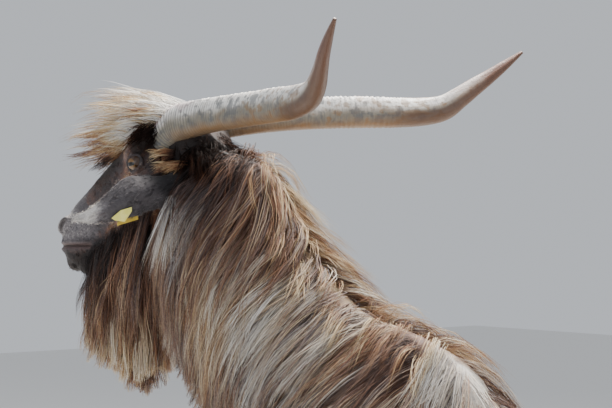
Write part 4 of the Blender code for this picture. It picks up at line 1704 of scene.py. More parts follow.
@dataclass
class BodySkin:
    """The skin of the trunk, neck, legs and tail, as deep inside the outline as its coat is.

    Coat holds the depth of the coat over each CAD node, in metres.
    """

    coat: dict[str, float] = field(
        default_factory=lambda: {
            "neck_upper": 0.036,
            "neck_lower": 0.04,
            "shoulders": 0.034,
            "barrel": 0.028,
            "rump": 0.024,
            "tail": 0.016,
            "foreleg_upper": 0.013,
            "hindleg_upper": 0.015,
            "cannon": 0.006,
            "pastern": 0.0045,
            "claw": 0.0075,
            "head": 0.012,
            "lower_jaw": 0.012,
        }
    )
    swelling: float = 0.001
    voxel: float = 0.006
    smoothing: int = 22
    skin_voxel: float = 0.0085
    skin_smoothing: int = 6
    depth_rounds: int = 24
    belly_depth: float = 0.03

    def outline(self) -> "Outline":
        """The body's outline, out to the tips of the coat, with the depth of the coat.

        Returns:
            The outline.
        """
        names = [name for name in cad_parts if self._depth_of(name) is not None]
        meshes = [self._swollen(name) for name in names]
        body = fused("outline", meshes, self.voxel, self.smoothing)
        mesh = body.data
        points, normals, edges = points_of(mesh), normals_of(mesh), edges_of(mesh)
        nearest = self._nearest_nodes(points, names)
        depth = np.array([self._depth_of(name) for name in names])[nearest]
        belly = np.isin(nearest, [names.index("barrel"), names.index("rump"), names.index("shoulders")])
        depth = depth + self.belly_depth * belly * smoothstep(-normals[:, 2], 0.15, 0.75)
        depth = relaxed(depth, edges, self.depth_rounds)
        smooth_normals = unit(relaxed(normals, edges, NORMAL_ROUNDS))
        outline = Outline(points, smooth_normals, triangles_of(mesh), depth, nearest, names)
        discard(body)
        return outline

    def _depth_of(self, name: str) -> float | None:
        """The coat's depth over a CAD node, or None if the node isn't flesh under it.

        Args:
            name: The node.

        Returns:
            The depth in metres.
        """
        if "claw" in name:
            return self.coat["claw"]
        for part in ("cannon", "pastern"):
            if part in name:
                return self.coat[part]
        return self.coat.get(name.replace("_left", "").replace("_right", ""))

    def _swollen(self, name: str) -> Mesh:
        """A CAD node's mesh, swollen across the thin cuts between nodes.

        Args:
            name: The node.

        Returns:
            The mesh.
        """
        mesh = bpy.data.meshes.new(name + "_swollen")
        with reworked(mesh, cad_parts[name].data) as bm:
            bmesh.ops.remove_doubles(bm, verts=bm.verts, dist=SAME_POINT)
            bm.normal_update()
            for vert in bm.verts:
                vert.co += vert.normal * self.swelling
        return mesh

    @staticmethod
    def _nearest_nodes(points: Array, names: Sequence[str]) -> Array:
        """The number in names of the CAD node that is nearest to each point.

        Args:
            points: Points of the outline.
            names: The nodes of flesh.

        Returns:
            One number for each point.
        """
        corners: list[Triple] = []
        faces: list[tuple[int, int, int]] = []
        owner: list[int] = []
        for number, name in enumerate(names):
            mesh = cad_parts[name].data
            start = len(corners)
            corners += [tuple(row) for row in points_of(mesh)]
            triangles = triangles_of(mesh)
            faces += [tuple(int(corner) + start for corner in row) for row in triangles]
            owner += [number] * len(triangles)
        tree = BVHTree.FromPolygons(corners, faces)
        return np.array([owner[tree.find_nearest(Vector(point))[2]] for point in points])

    def build(self, outline: "Outline", *parts: Thing) -> Thing:
        """The one skin of the whole animal.

        Args:
            outline: The body's outline.
            parts: The head and ears, which are joined to it.

        Returns:
            The joined object.
        """
        inner = outline.points - outline.normals * outline.depth[:, None]
        mesh = new_mesh("inner", inner, outline.triangles)
        body = fused("goat_skin", [mesh], self.skin_voxel, self.skin_smoothing)
        return united(body, *parts)


@dataclass
class Outline:
    """The closed surface out to the tips of the coat, and what is known at its points."""

    points: Array
    normals: Array
    triangles: Array
    depth: Array
    owner: Array
    names: list[str]
    tree: BVHTree = field(init=False)

    def __post_init__(self) -> None:
        """Makes the search tree."""
        self.tree = BVHTree.FromPolygons(self.points.tolist(), self.triangles.tolist())

    @classmethod
    def around(cls, node: str, depth: float) -> "Outline":
        """The smoothed surface of one CAD node, with a coat of one depth.

        Args:
            node: The node.
            depth: The depth of its coat, in metres.

        Returns:
            The outline.
        """
        body = fused(f"{node}_outline", [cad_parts[node].data], 0.005, 14)
        mesh = body.data
        points = points_of(mesh)
        normals = unit(relaxed(normals_of(mesh), edges_of(mesh), NORMAL_ROUNDS))
        owner = np.zeros(len(points), int)
        outline = cls(points, normals, triangles_of(mesh), np.full(len(points), depth), owner, [node])
        discard(body)
        return outline

    def sample(self, wanted: Wish, count: int, rng: Generator) -> Array:
        """Random places on the surface.

        Args:
            wanted: How densely each triangle is to be sampled, from its middle and the
                name of the node it is over.
            count: How many places.
            rng: The random numbers.

        Returns:
            The points.
        """
        corners = self.points[self.triangles]
        owners = [self.names[number] for number in self.owner[self.triangles[:, 0]]]
        weight = areas(corners) * wanted(corners.mean(1), owners)
        chosen = rng.choice(len(weight), count, p=weight / weight.sum())
        one, two = rng.random((2, count, 1))
        flip = one + two > 1
        one, two = np.where(flip, 1 - one, one), np.where(flip, 1 - two, two)
        start, side, far = (corners[chosen, k] for k in range(3))
        return start + one * (side - start) + two * (far - start)

    def nearest(self, points: Array) -> tuple[Array, Array, Array]:
        """The nearest surface points, with their normals and the depth of the coat there.

        Args:
            points: Points near the surface.

        Returns:
            The places, the normals and the depths, one row for each point.
        """
        place = np.empty_like(points)
        numbers = np.empty(len(points), int)
        for row, point in enumerate(points):
            found, _, number, _ = self.tree.find_nearest(Vector(point))
            place[row] = found
            numbers[row] = number
        corners = self.triangles[numbers]
        return place, unit(self.normals[corners].mean(1)), self.depth[corners].mean(1)


# --- The coat


@dataclass(frozen=True)
class Hairs:
    """How the hairs of a lock are made: how many, how fine, and how they keep together."""

    count: int = 9
    rings: int = 5
    width: float = 0.0021
    flatness: float = 0.45
    spread: float = 0.01
    clump: float = 0.55
    wave: float = 0.003
    stray: float = 0.006
    shortest: float = 0.7

    @property
    def triangles(self) -> int:
        """The triangles of one hair."""
        return 2 * HAIR_SIDES * (self.rings - 1) + HAIR_SIDES + 1


@dataclass
class Locks:
    """The middle lines of locks, with the way that is out from the body at each point."""

    paths: Array
    outward: Array

    @classmethod
    def joined(cls, *locks: "Locks") -> "Locks":
        """All these locks together."""
        paths = np.concatenate([part.paths for part in locks])
        return cls(paths, np.concatenate([part.outward for part in locks]))


@dataclass(frozen=True)
class Unwrap:
    """A cylinder round part of the body, on which its skin is laid out flat."""

    start: Triple
    end: Triple
    seam: Triple = (0.0, 0.0, -1.0)

    def lay(self, points: Array) -> Array:
        """The place of each point on the map, filling it from 0 to 1.

        Args:
            points: Points in world space.

        Returns:
            Two numbers for each point.
        """
        start, end = np.array(self.start), np.array(self.end)
        axis = unit(end - start)
        seam = unit(np.array(self.seam) - axis * (np.array(self.seam) @ axis))
        offset = points - start
        angle = np.arctan2(offset @ np.cross(axis, seam), -(offset @ seam))
        flat = np.stack([angle, offset @ axis], 1)
        low, high = flat.min(0), flat.max(0)
        return 0.004 + (flat - low) / np.maximum(high - low, 1e-6) * (0.992 - TUFT_PATCH)


def middle_lines(locks: Locks, hairs: Hairs, rng: Generator) -> tuple[Array, Array, Array]:
    """The middle lines of hairs, spread and waved round the locks that they follow.

    Args:
        locks: The locks.
        hairs: How the hairs are made.
        rng: The random numbers.

    Returns:
        The points of the lines, then at each point the way out and the way across.
    """
    lock_count, knots = locks.paths.shape[:2]
    total = lock_count * hairs.count
    row = np.repeat(np.arange(lock_count), hairs.count)[:, None]
    reach = rng.uniform(hairs.shortest, 1.0, (total, 1))
    along = np.linspace(0, 1, hairs.rings + 1)[None]
    spot = along * reach * (knots - 1)
    knot = np.minimum(spot.astype(int), knots - 2)
    share = (spot - knot)[..., None]
    centre = locks.paths[row, knot] * (1 - share) + locks.paths[row, knot + 1] * share
    out = locks.outward[row, knot] * (1 - share) + locks.outward[row, knot + 1] * share
    ahead = unit(np.gradient(centre, axis=1))
    out = unit(square_to(out, ahead))
    wide = np.cross(out, ahead)

    turn, radius = rng.uniform(0, 2 * np.pi, (total, 1)), np.sqrt(rng.random((total, 1)))
    gather = 1 - hairs.clump * along**1.4
    sideways = np.cos(turn) * radius * hairs.spread * gather
    upward = np.sin(turn) * radius * hairs.spread * 0.45 * gather
    phase = rng.uniform(0, 2 * np.pi, (2, total, 1))
    pace = rng.uniform(2.0, 5.5, (total, 1))
    loose = rng.exponential(0.6, (total, 1)).clip(0, 3)
    sideways = sideways + hairs.wave * np.sin(along * pace + phase[0]) * along * loose
    upward = upward + hairs.wave * 0.6 * np.sin(along * pace * 1.3 + phase[1]) * along
    upward = upward + hairs.stray * (loose > 1.9) * along**2
    centre = centre + wide * sideways[..., None] + out * upward[..., None]
    centre[..., 2] = np.maximum(centre[..., 2], FLOOR_GAP)
    return centre, out, wide


def hair_faces(count: int, rings: int) -> tuple[Array, Array, Array]:
    """The faces of hairs: tubes with few sides, each closed by a cap and a pointed tip.

    Args:
        count: How many hairs.
        rings: The rings of points of each hair before its tip.

    Returns:
        The sides, the faces at the tips and the caps at the roots.
    """
    size = rings * HAIR_SIDES + 1
    first = (np.arange(count) * size)[:, None, None]
    step = (np.arange(rings - 1) * HAIR_SIDES)[None, :, None]
    here = np.arange(HAIR_SIDES)[None, None]
    after = (here + 1) % HAIR_SIDES
    quads = np.stack([here, after, after + HAIR_SIDES, here + HAIR_SIDES], -1) + (first + step)[..., None]
    last = first[..., 0] + (rings - 1) * HAIR_SIDES
    tip = np.broadcast_to(first[..., 0] + size - 1, (count, HAIR_SIDES))
    fans = np.stack([last + here[0], last + after[0], tip], -1)
    return quads.reshape(-1, 4), fans.reshape(-1, 3), first[..., 0] + np.array([0, 2, 1])


def hair_mesh(name: str, locks: Locks, hairs: Hairs, unwrap: Unwrap, rng: Generator) -> Mesh:
    """Closed, tapering hairs grown along locks, as one mesh.

    Each point keeps the place that its hair is marked from, and the lock's and hair's own
    random numbers with the share of the way to the tip.

    Args:
        name: The mesh's name.
        locks: The locks that the hairs follow.
        hairs: How the hairs are made.
        unwrap: The map that the hairs' roots are laid out on.
        rng: The random numbers.

    Returns:
        The mesh, with its bake map.
    """
    centre, out, wide = middle_lines(locks, hairs, rng)
    total = len(centre)
    along = np.linspace(0, 1, hairs.rings + 1)
    taper = (0.45 + 0.55 * smoothstep(along, 0.0, 0.3)) * (1 - along**2.2) ** 0.8
    girth = hairs.width * rng.uniform(0.7, 1.25, (total, 1)) * taper[None]
    turns = 2 * np.pi * np.arange(HAIR_SIDES) / HAIR_SIDES
    roll = rng.uniform(-0.7, 0.7, (total, 1, 1)) + turns
    half = girth[:, :-1, None, None] / 2
    corner = wide[:, :-1, None] * np.cos(roll)[..., None] * half
    corner = corner + out[:, :-1, None] * np.sin(roll)[..., None] * half * hairs.flatness
    rings = (centre[:, :-1, None] + corner).reshape(total, -1, 3)
    points = np.concatenate([rings, centre[:, -1:]], 1)
    size = points.shape[1]
    mesh = new_mesh(name, points.reshape(-1, 3), *hair_faces(total, hairs.rings))

    mark = centre[:, (hairs.rings + 1) // 2]
    store(mesh, "root", np.repeat(mark, size, axis=0))
    way = np.append(np.repeat(along[:-1], HAIR_SIDES), 1.0)
    lock = np.repeat(rng.random(len(locks.paths)), hairs.count)
    own = np.stack([lock, rng.random(total)], 1)
    growth = np.concatenate([np.repeat(own, size, axis=0), np.tile(way, total)[:, None]], 1)
    store(mesh, "growth", growth)

    corners = pulled(mesh.loops, "vertex_index", 1)[:, 0]
    roots = unwrap.lay(centre[:, 0])
    round_share = np.append(np.tile(np.linspace(0, 1, HAIR_SIDES), hairs.rings), 0.5)
    inside = np.stack([round_share, way], 1) * TUFT_PATCH
    places = (roots[:, None] + inside[None]).reshape(-1, 2)
    layer = mesh.uv_layers.new(name=BAKE_MAP)
    layer.uv.foreach_set("vector", places[corners].astype(np.float32).ravel())
    return mesh


def curved_locks(roots: Array, tips: Array, leaving: Array, arriving: Array) -> Locks:
    """Locks on smooth curves from roots to tips.

    Args:
        roots: Where the locks start.
        tips: Where they end.
        leaving: The way each sets out, with its length the strength of it.
        arriving: The way each comes in, likewise.

    Returns:
        The locks.
    """
    t = np.linspace(0, 1, KNOTS)[None, :, None]
    one, two = (roots + leaving)[:, None], (tips - arriving)[:, None]
    start, end = roots[:, None], tips[:, None]
    paths = (1 - t) ** 3 * start + 3 * (1 - t) ** 2 * t * one
    paths = paths + 3 * (1 - t) * t**2 * two + t**3 * end
    middle = paths.mean((0, 1))
    return Locks(paths, unit(paths - middle))


@dataclass(frozen=True)
class Pelt:
    """A stretch of falling coat: where it grows, how long, how deep and how it lies."""

    name: str
    nodes: tuple[str, ...]
    unwrap: Unwrap
    locks: int
    length: Pair
    side: Side | None = None
    hairs: Hairs = Hairs()
    finish: HairFinish = HairFinish("coat_hair")
    sweep: Triple = (0.15, 0.0, 0.0)
    parting: float = 0.9
    fall: float = 1.0
    low: float = 0.35
    scatter: float = 0.16
    overhang: float = 0.028
    behind: float = -9.0
    ridge: float = 9.0
    lift: float = 0.0

    def wanted(self, middle: Array, owners: list[str]) -> Array:
        """Where the pelt grows: on its nodes, and on its side of the spine.

        Args:
            middle: Places on the outline.
            owners: The names of the nodes they are over.

        Returns:
            1 for each place where it grows, and 0 for the others.
        """
        here = np.array([owner in self.nodes for owner in owners], float)
        across = middle[:, 1] - Spine.y(middle[:, 0])
        if self.side is not None:
            here *= across * -self.side.sign > -0.006
        here *= np.abs(across) < self.ridge
        return here * (middle[:, 0] > self.behind)


class Spine:
    """The line of the back and neck, seen from above."""

    STATIONS = (-0.42, -0.366, -0.306, -0.22, -0.13, -0.02)
    OFFSETS = (-0.085, -0.064, -0.048, -0.024, -0.004, 0.0)

    @classmethod
    def y(cls, x: Array) -> Array:
        """How far to the side the spine is at x, in world space."""
        low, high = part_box("barrel")
        return (low.y + high.y) / 2 + np.interp(x, cls.STATIONS, cls.OFFSETS)


@dataclass(frozen=True)
class Tuft:
    """A tuft on the head, in the level frame: its roots, its way, its length and its spread."""

    centre: Triple
    radii: Triple
    way: Triple
    length: Pair
    count: int
    spray: float = 0.2


@dataclass
class Coat:
    """The whole coat: long falling hair on the body, tufts on the head, short hair on the face."""

    pose: HeadPose
    outline: Outline
    rng: Generator = field(default_factory=lambda: np.random.default_rng(SEED))
    thinning: int = field(default_factory=lambda: 1)
    forelock_locks: int = 430
    throat_locks: int = 260
    face_locks: int = 2700
    ear_locks: int = 1100
    rim_locks: int = 280
    rim_start: int = 4
    beard_depth: float = 0.034
    clear_of_tag: float = 0.019
    triangles: int = 0
    materials: dict[str, Material] = field(default_factory=dict)

    def piece(self, name: str, locks: Locks, hairs: Hairs, unwrap: Unwrap, finish: HairFinish) -> Thing:
        """Makes one piece of the coat from its locks.

        Args:
            name: The piece's name.
            locks: Its locks.
            hairs: How its hairs are made.
            unwrap: The map for its colours.
            finish: What its hair looks like.

        Returns:
            The piece.
        """
        mesh = hair_mesh(name, locks, hairs, unwrap, self.rng)
        self.triangles += len(locks.paths) * hairs.count * hairs.triangles
        if finish.name not in self.materials:
            self.materials[finish.name] = finish.material(self.pose.head)
        return new_piece(name, mesh, self.materials[finish.name])

    def falling(self, pelt: Pelt, surface: Outline) -> Locks:
        """Locks that grow out of the skin and fall over the body, as deep as the outline allows.

        Args:
            pelt: The stretch of coat.
            surface: The outline that it lies under.

        Returns:
            The locks.
        """
        rng = self.rng
        count = pelt.locks // self.thinning
        place, normal, depth = surface.nearest(surface.sample(pelt.wanted, count, rng))
        length = rng.uniform(*pelt.length, count)
        top = pelt.low + (1.02 - pelt.low) * rng.random(count) ** 0.75
        bend = rng.normal(0, pelt.scatter, (count, 3))
        free = np.zeros(count, bool)
        left = np.full(count, pelt.overhang)
        sunk = depth.copy()
        paths, outward = [], []
        for knot in range(KNOTS):
            share = knot / (KNOTS - 1)
            level = top * (1 - np.exp(-share * 6.0)) - 0.06 * (knot == 0) + pelt.lift * share**1.5
            sunk = np.where(free, sunk, depth)
            paths.append(place - normal * (sunk * (1 - level))[:, None])
            outward.append(normal)
            along = square_to(self._lie(pelt, place, normal) + bend * (0.4 + share), normal)
            step = length / (KNOTS - 1)
            hanging = free | ((normal[:, 2] < -0.3) & (share > 0.1))
            step = np.where(hanging, np.minimum(step, left / 2), step)
            left = np.where(hanging, left - step, left)
            way = np.where(hanging[:, None], unit(DOWN + bend * 0.5), unit(along))
            ahead = place + way * step[:, None]
            near, near_normal, near_depth = surface.nearest(ahead)
            free = hanging
            place = np.where(free[:, None], ahead, near)
            normal = np.where(free[:, None], normal, near_normal)
            depth = np.where(free, depth, near_depth)
        return Locks(self._eased(np.stack(paths, 1)), unit(self._eased(np.stack(outward, 1))))

    @staticmethod
    def _eased(rows: Array, passes: int = 3) -> Array:
        """The same rows of knots without sharp kinks; both ends stay where they are.

        Args:
            rows: The knots of each lock.
            passes: How often each knot is moved towards its neighbours.

        Returns:
            The eased knots.
        """
        for _ in range(passes):
            middle = (rows[:, :-2] + 2 * rows[:, 1:-1] + rows[:, 2:]) / 4
            rows = np.concatenate([rows[:, :1], middle, rows[:, -1:]], 1)
        return rows

    @staticmethod
    def _lie(pelt: Pelt, place: Array, normal: Array) -> Array:
        """The way that the coat lies at each place: down, swept back, and parted at the spine.

        Args:
            pelt: The stretch of coat.
            place: The places.
            normal: The surface's normals there.

        Returns:
            The ways, which aren't scaled to length 1.
        """
        aside = np.tanh((place[:, 1] - Spine.y(place[:, 0])) / 0.02)
        aside *= pelt.parting * np.clip(normal[:, 2], 0, 1)
        heading = np.tile(np.array(pelt.sweep, float), (len(place), 1))
        heading[:, 1] += aside
        heading[:, 2] -= pelt.fall
        return heading

    def level(self, *points: Triple) -> Array:
        """Points of the head's level frame in world space."""
        return moved(np.array(points, float), self.pose.level)

    def node_surface(self, name: str, count: int, weigh: Callable[[Array], Array]) -> Array:
        """Random points on a CAD node.

        Args:
            name: The node.
            count: How many points.
            weigh: How densely points are wanted, from places in the level frame.

        Returns:
            The points, in the level frame.
        """
        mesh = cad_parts[name].data
        corners = self.pose.levelled(points_of(mesh))[triangles_of(mesh)]
        weight = areas(corners) * weigh(corners.mean(1))
        chosen = self.rng.choice(len(weight), count, p=weight / weight.sum())
        share = self.rng.dirichlet((1.0, 1.0, 1.0), count)
        return (corners[chosen] * share[..., None]).sum(1)

    def forelock(self) -> Locks:
        """The forelock: out of the poll between the horns, up and blown forward.

        Returns:
            The locks.
        """
        rng = self.rng
        count = self.forelock_locks // self.thinning
        tips = self.node_surface("forelock", count, lambda at: 0.35 + smoothstep(at[:, 0], 0.03, 0.14))
        stations, raises = (0.03, 0.07, 0.11, 0.15, 0.19), (-0.006, -0.012, -0.004, 0.01, 0.008)
        raised = np.interp(tips[:, 0], stations, raises)
        tips[:, 2] += np.where(raised > 0, raised * smoothstep(tips[:, 2], -0.03, 0.02), raised)
        tips[:, 0] += 0.012 * smoothstep(tips[:, 0], 0.08, 0.15)
        front = np.clip((0.035 - tips[:, 2]) / 0.1 + rng.normal(0, 0.12, count), 0, 1)
        x = -0.012 + 0.122 * front + rng.normal(0, 0.006, count)
        y = np.clip(tips[:, 1] * 0.62, -0.042, 0.042) + rng.normal(0, 0.004, count)
        z = np.interp(x, (-0.02, 0.05, 0.12), (0.006, 0.033, 0.03))
        roots = self._levelled(np.stack([x, y, z], 1))
        tips = roots + (tips - roots) * rng.uniform(0.7, 1.16, (count, 1))
        reach = np.linalg.norm(tips - roots, axis=1, keepdims=True)
        direct = (tips - roots) / reach
        rise = direct + np.stack([0.0 * front, roots[:, 1] * 6, 0.5 - 0.3 * front], 1)
        settle = direct + np.array((0.15, 0.0, -0.25)) + rng.normal(0, 0.34, (count, 3))
        locks = curved_locks(roots, tips, unit(rise) * reach * 0.28, unit(settle) * reach * 0.3)
        return self._placed(locks)

    def beard(self) -> Pelt:
        """The beard's pelt, which falls over the outline of its CAD node.

        Returns:
            The pelt.
        """
        unwrap = Unwrap(tuple(self.level((0.05, 0, -0.12))[0]), tuple(self.level((0.08, 0, -0.4))[0]))
        hairs = Hairs(count=9, rings=4, width=0.0012, spread=0.009, clump=0.5, wave=0.004, shortest=0.75)
        finish = HairFinish("beard_hair", Slot.BROWN, tip=0.14, tip_warmth=0.05)
        sweep = (0, 0, 0)
        return Pelt("beard", ("beard",), unwrap, 380, (0.1, 0.18), None, hairs, finish, sweep, parting=0.0)

    def throat(self) -> Locks:
        """Hair from the jaw and throat that falls over the beard and closes it to the head.

        Returns:
            The locks.
        """
        rng = self.rng
        count = self.throat_locks // self.thinning
        tips = self.node_surface("beard", count, lambda at: 0.25 + smoothstep(-at[:, 2], 0.18, 0.3))
        share = np.clip((tips[:, 0] + 0.01) / 0.19 + rng.normal(0, 0.1, count), 0.0, 1.0)
        side = np.clip(tips[:, 1] * 0.85, -0.036, 0.036)
        low = -0.078 + 0.012 * share + rng.normal(0, 0.008, count)
        roots = self._levelled(np.stack([0.03 + 0.205 * share, side, low], 1))
        reach = np.linalg.norm(tips - roots, axis=1, keepdims=True)
        outward = np.stack([(tips[:, 0] - 0.1) * 3, tips[:, 1] * 14, np.full(count, -1.0)], 1)
        fall = np.array((-0.06, 0.0, -1.0)) + rng.normal(0, 0.08, (count, 3))
        locks = curved_locks(roots, tips, unit(outward) * reach * 0.36, unit(fall) * reach * 0.4)
        return self._placed(locks)

    def _levelled(self, points: Array) -> Array:
        """Points of the head's own frame in its level frame."""
        return self.pose.levelled(moved(points, self.pose.head))

    def _placed(self, locks: Locks) -> Locks:
        """Locks of the level frame in world space.

        Args:
            locks: Locks whose points are in the level frame.

        Returns:
            The locks in world space.
        """
        shape = locks.paths.shape
        paths = moved(locks.paths.reshape(-1, 3), self.pose.level).reshape(shape)
        return Locks(paths, turned(locks.outward.reshape(-1, 3), self.pose.level).reshape(shape))

    def tuft(self, tuft: Tuft, side: Side) -> Locks:
        """The locks of a tuft on one side of the head, in world space.

        Args:
            tuft: What the tuft is like on the left side.
            side: The side that it grows on.

        Returns:
            The locks.
        """
        rng = self.rng
        count = max(3, tuft.count // self.thinning)
        offset = unit(rng.normal(0, 1, (count, 3))) * rng.random((count, 1)) ** (1 / 3)
        mirror = np.array((1.0, side.sign, 1.0))
        roots = mirror * tuft.centre + offset * np.array(tuft.radii)
        spray = rng.normal(0, tuft.spray, (count, 3))
        ways = unit(unit(mirror * tuft.way) + spray + offset * 0.25)
        reach = rng.uniform(*tuft.length, (count, 1))
        tips = roots + ways * reach + DOWN * reach * 0.25
        locks = curved_locks(roots, tips, ways * reach * 0.4, (ways + (0, 0, -0.45)) * reach * 0.3)
        return self._placed(locks)

    def short_hair(self, skin: Outline, wanted: Wish, flow: Flow, count: int) -> Locks:
        """Short hair that lies on the skin.

        Args:
            skin: The skin's surface.
            wanted: How densely a place is to be covered.
            flow: The way and length of the hair, and how far it stands off, from places.
            count: How many locks.

        Returns:
            The locks.
        """
        place, normal, _ = skin.nearest(skin.sample(wanted, count // self.thinning, self.rng))
        way, length, lift = flow(place)
        way = unit(square_to(way + self.rng.normal(0, 0.16, way.shape), normal))
        length = (length * self.rng.uniform(0.65, 1.15, len(length)))[:, None]
        stand = (lift * self.rng.uniform(0.5, 1.3, len(lift)))[:, None]
        t = np.linspace(0, 1, SHORT_KNOTS)[None, :, None]
        paths = (place - normal * 0.0006)[:, None] + (way * length)[:, None] * t
        paths = paths + (normal * stand)[:, None] * np.sin(t * 1.9)
        paths = paths + DOWN * (length * 0.22)[:, None] * t**2
        return Locks(paths, np.repeat(normal[:, None], SHORT_KNOTS, axis=1))

    def body(self) -> None:
        """Makes the falling coat of the neck, trunk, tail and legs."""
        for pelt in body_pelts():
            locks = self.falling(pelt, self.outline)
            self.piece(f"coat_{pelt.name}", locks, pelt.hairs, pelt.unwrap, pelt.finish)

    def head(self, skin: Outline) -> None:
        """Makes the forelock, the beard, the tufts and the short fur of the head.

        Args:
            skin: The surface of the finished skin.
        """
        head = Unwrap(tuple(self.pose.head.to_translation()), tuple(self.pose.head @ Vector((0.3, 0, -0.03))))
        lock = HairFinish("forelock_hair", Slot.CREAM, tone=0.64, warmth=-0.25, tip=0.0, burnt=0.58)
        hairs = Hairs(count=8, rings=5, width=0.0012, spread=0.008, clump=0.9, wave=0.004, stray=0.014)
        locks = self.forelock()
        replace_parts(self.piece("coat_forelock", locks, hairs, head, lock), "forelock")
        pelt = self.beard()
        locks = self.falling(pelt, Outline.around("beard", self.beard_depth))
        locks = Locks.joined(locks, self.throat())
        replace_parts(self.piece("coat_beard", locks, pelt.hairs, pelt.unwrap, pelt.finish), "beard")
        self._tufts(head)
        self._face(skin, head)
        self._ears(skin)

    def _tufts(self, unwrap: Unwrap) -> None:
        """Makes the tufts round the eyes, the horns and the roots of the ears.

        Args:
            unwrap: The map for their colours.
        """
        ginger = HairFinish("ginger_hair", tone=0.47, warmth=1.4, tip=0.1, lock_range=0.22, hair_range=0.2)
        cream = HairFinish("ear_root_hair", Slot.CREAM, tone=0.3, warmth=-0.3, lock_range=0.5)
        # The poll hair round the horn roots is dark brown, deepened with painted shade from the horns.
        dark = HairFinish("poll_hair", Slot.GREY, tone=-0.08, warmth=0.4, tip=0.02, gloss=0.04, **EVEN)
        hairs = Hairs(count=6, rings=3, width=0.0011, spread=0.005, clump=0.6)
        eye = (
            Tuft((0.008, 0.05, -0.044), (0.018, 0.004, 0.006), (1, 0.45, -0.1), (0.014, 0.03), 46),
            Tuft((-0.012, 0.056, -0.06), (0.02, 0.006, 0.005), (1, 0.7, -0.2), (0.02, 0.042), 26),
        )
        ear = (
            Tuft((-0.02, 0.082, -0.112), (0.01, 0.009, 0.01), (0.02, 0.3, -1.0), (0.05, 0.11), 56, 0.12),
        )
        horn = (
            Tuft((-0.045, 0.05, -0.05), (0.03, 0.016, 0.016), (-0.5, 0.7, -0.4), (0.03, 0.07), 90),
            Tuft((0.045, 0.045, -0.01), (0.02, 0.01, 0.014), (0.5, 0.6, -0.5), (0.02, 0.04), 60),
        )
        for side in Side:
            for place, tufts, finish in (("eye", eye, ginger), ("ear", ear, cream), ("horn", horn, dark)):
                locks = Locks.joined(*(self.tuft(tuft, side) for tuft in tufts))
                self.piece(f"coat_tuft_{place}_{side.value}", locks, hairs, unwrap, finish)

    def _face(self, skin: Outline, unwrap: Unwrap) -> None:
        """Makes the short fur of the face and jaw.

        Args:
            skin: The surface of the finished skin.
            unwrap: The map for its colours.
        """

        def wanted(middle: Array, owners: list[str]) -> Array:
            """The head, denser where it shows, and not its bare skin."""
            share = 0.35 + smoothstep(self.pose.own(middle)[:, 0], 0.02, 0.06)
            return (np.array(owners) == "head") * share

        def flow(spot: Array) -> tuple[Array, Array, Array]:
            """Back from the muzzle, down over the cheeks, longer towards the throat.

            Args:
                spot: Places on the skin.

            Returns:
                The way and the length of the hair, and how far it stands off.
            """
            own = self.pose.own(spot)
            cheek = smoothstep(-own[:, 2], 0.02, 0.07)
            way = np.stack([-np.ones(len(own)), np.sign(own[:, 1]) * 0.15, 0.1 - 0.75 * cheek], 1)
            back = smoothstep(own[:, 0], 0.24, 0.05)
            length = 0.0045 + 0.0075 * back + 0.016 * cheek * back
            return turned(way, self.pose.head), length, 0.0004 + 0.0014 * back + 0.002 * cheek

        fur = {"root": 0.0, "tip": 0.08, "lock_range": 0.24, "hair_range": 0.18, "gloss": 0.2}
        # The face fur is a little paler than the markings, partly as painted light that evens out its own
        # shadow on the skin.
        finish = HairFinish("face_fur", Slot.GREY, tone=0.12, **fur)
        hairs = Hairs(count=4, rings=2, width=0.0009, spread=0.003, clump=0.2, wave=0.0004, stray=0.0)
        locks = self.short_hair(skin, wanted, flow, self.face_locks)
        self.piece("coat_face", locks, hairs, unwrap, finish)

    def _ears(self, skin: Outline) -> None:
        """Makes the short fur of the ears and the fringe along their rims.

        Args:
            skin: The surface of the finished skin.
        """
        fur = {"root": -0.02, "tip": 0.08, "lock_range": 0.2, "gloss": 0.2}
        finish = HairFinish("ear_fur", Slot.GREY, tone=-0.17, warmth=-0.66, **fur)
        hairs = Hairs(count=3, rings=2, width=0.0008, spread=0.0024, clump=0.3, wave=0.0004, stray=0.0)
        rim = HairFinish("ear_rim_hair", Slot.CREAM, tone=-0.04, warmth=-0.4, tip=0.1, lock_range=0.2)
        thin = replace(hairs, width=0.0006)
        low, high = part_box("tag_plate")
        tag = np.array((low + high) / 2)
        for side in Side:
            points, normals, _, _ = Ear(side, self.pose).grid()
            tip = points[-1].mean(0)
            unwrap = Unwrap(tuple(points[0].mean(0)), tuple(tip))
            label = f"ear_{side.value}"

            def wanted(middle: Array, owners: list[str]) -> Array:
                """This ear alone."""
                clear = np.linalg.norm(middle - tag, axis=1) > self.clear_of_tag
                return (np.array(owners) == label) * clear.astype(float)

            def flow(spot: Array) -> tuple[Array, Array, Array]:
                """Towards the tip."""
                ahead = unit(tip - spot)
                return ahead, np.full(len(spot), 0.01), np.full(len(spot), 0.0009)

            locks = self.short_hair(skin, wanted, flow, self.ear_locks)
            self.piece(f"coat_{label}", locks, hairs, unwrap, finish)
            edge, inner, outward = (
                np.concatenate([rows[self.rim_start :, first], rows[self.rim_start :, last]])
                for rows, first, last in ((points, 0, -1), (points, 1, -2), (normals, 0, -1))
            )
            chosen = self.rng.integers(0, len(edge), self.rim_locks // self.thinning)
            start = edge[chosen] + self.rng.normal(0, 0.0012, (len(chosen), 3))
            way = unit(edge - inner)[chosen] * 0.55 + unit(tip - start)
            way = way + self.rng.normal(0, 0.12, way.shape)
            reach_out = self.rng.uniform(0.002, 0.006, (len(chosen), 1))
            along = np.linspace(0, 1, SHORT_KNOTS)[None, :, None]
            paths = start[:, None] + (unit(way) * reach_out)[:, None] * along
            fringe = Locks(paths, np.repeat(outward[chosen][:, None], SHORT_KNOTS, axis=1))
            self.piece(f"coat_{label}_rim", fringe, thin, unwrap, rim)


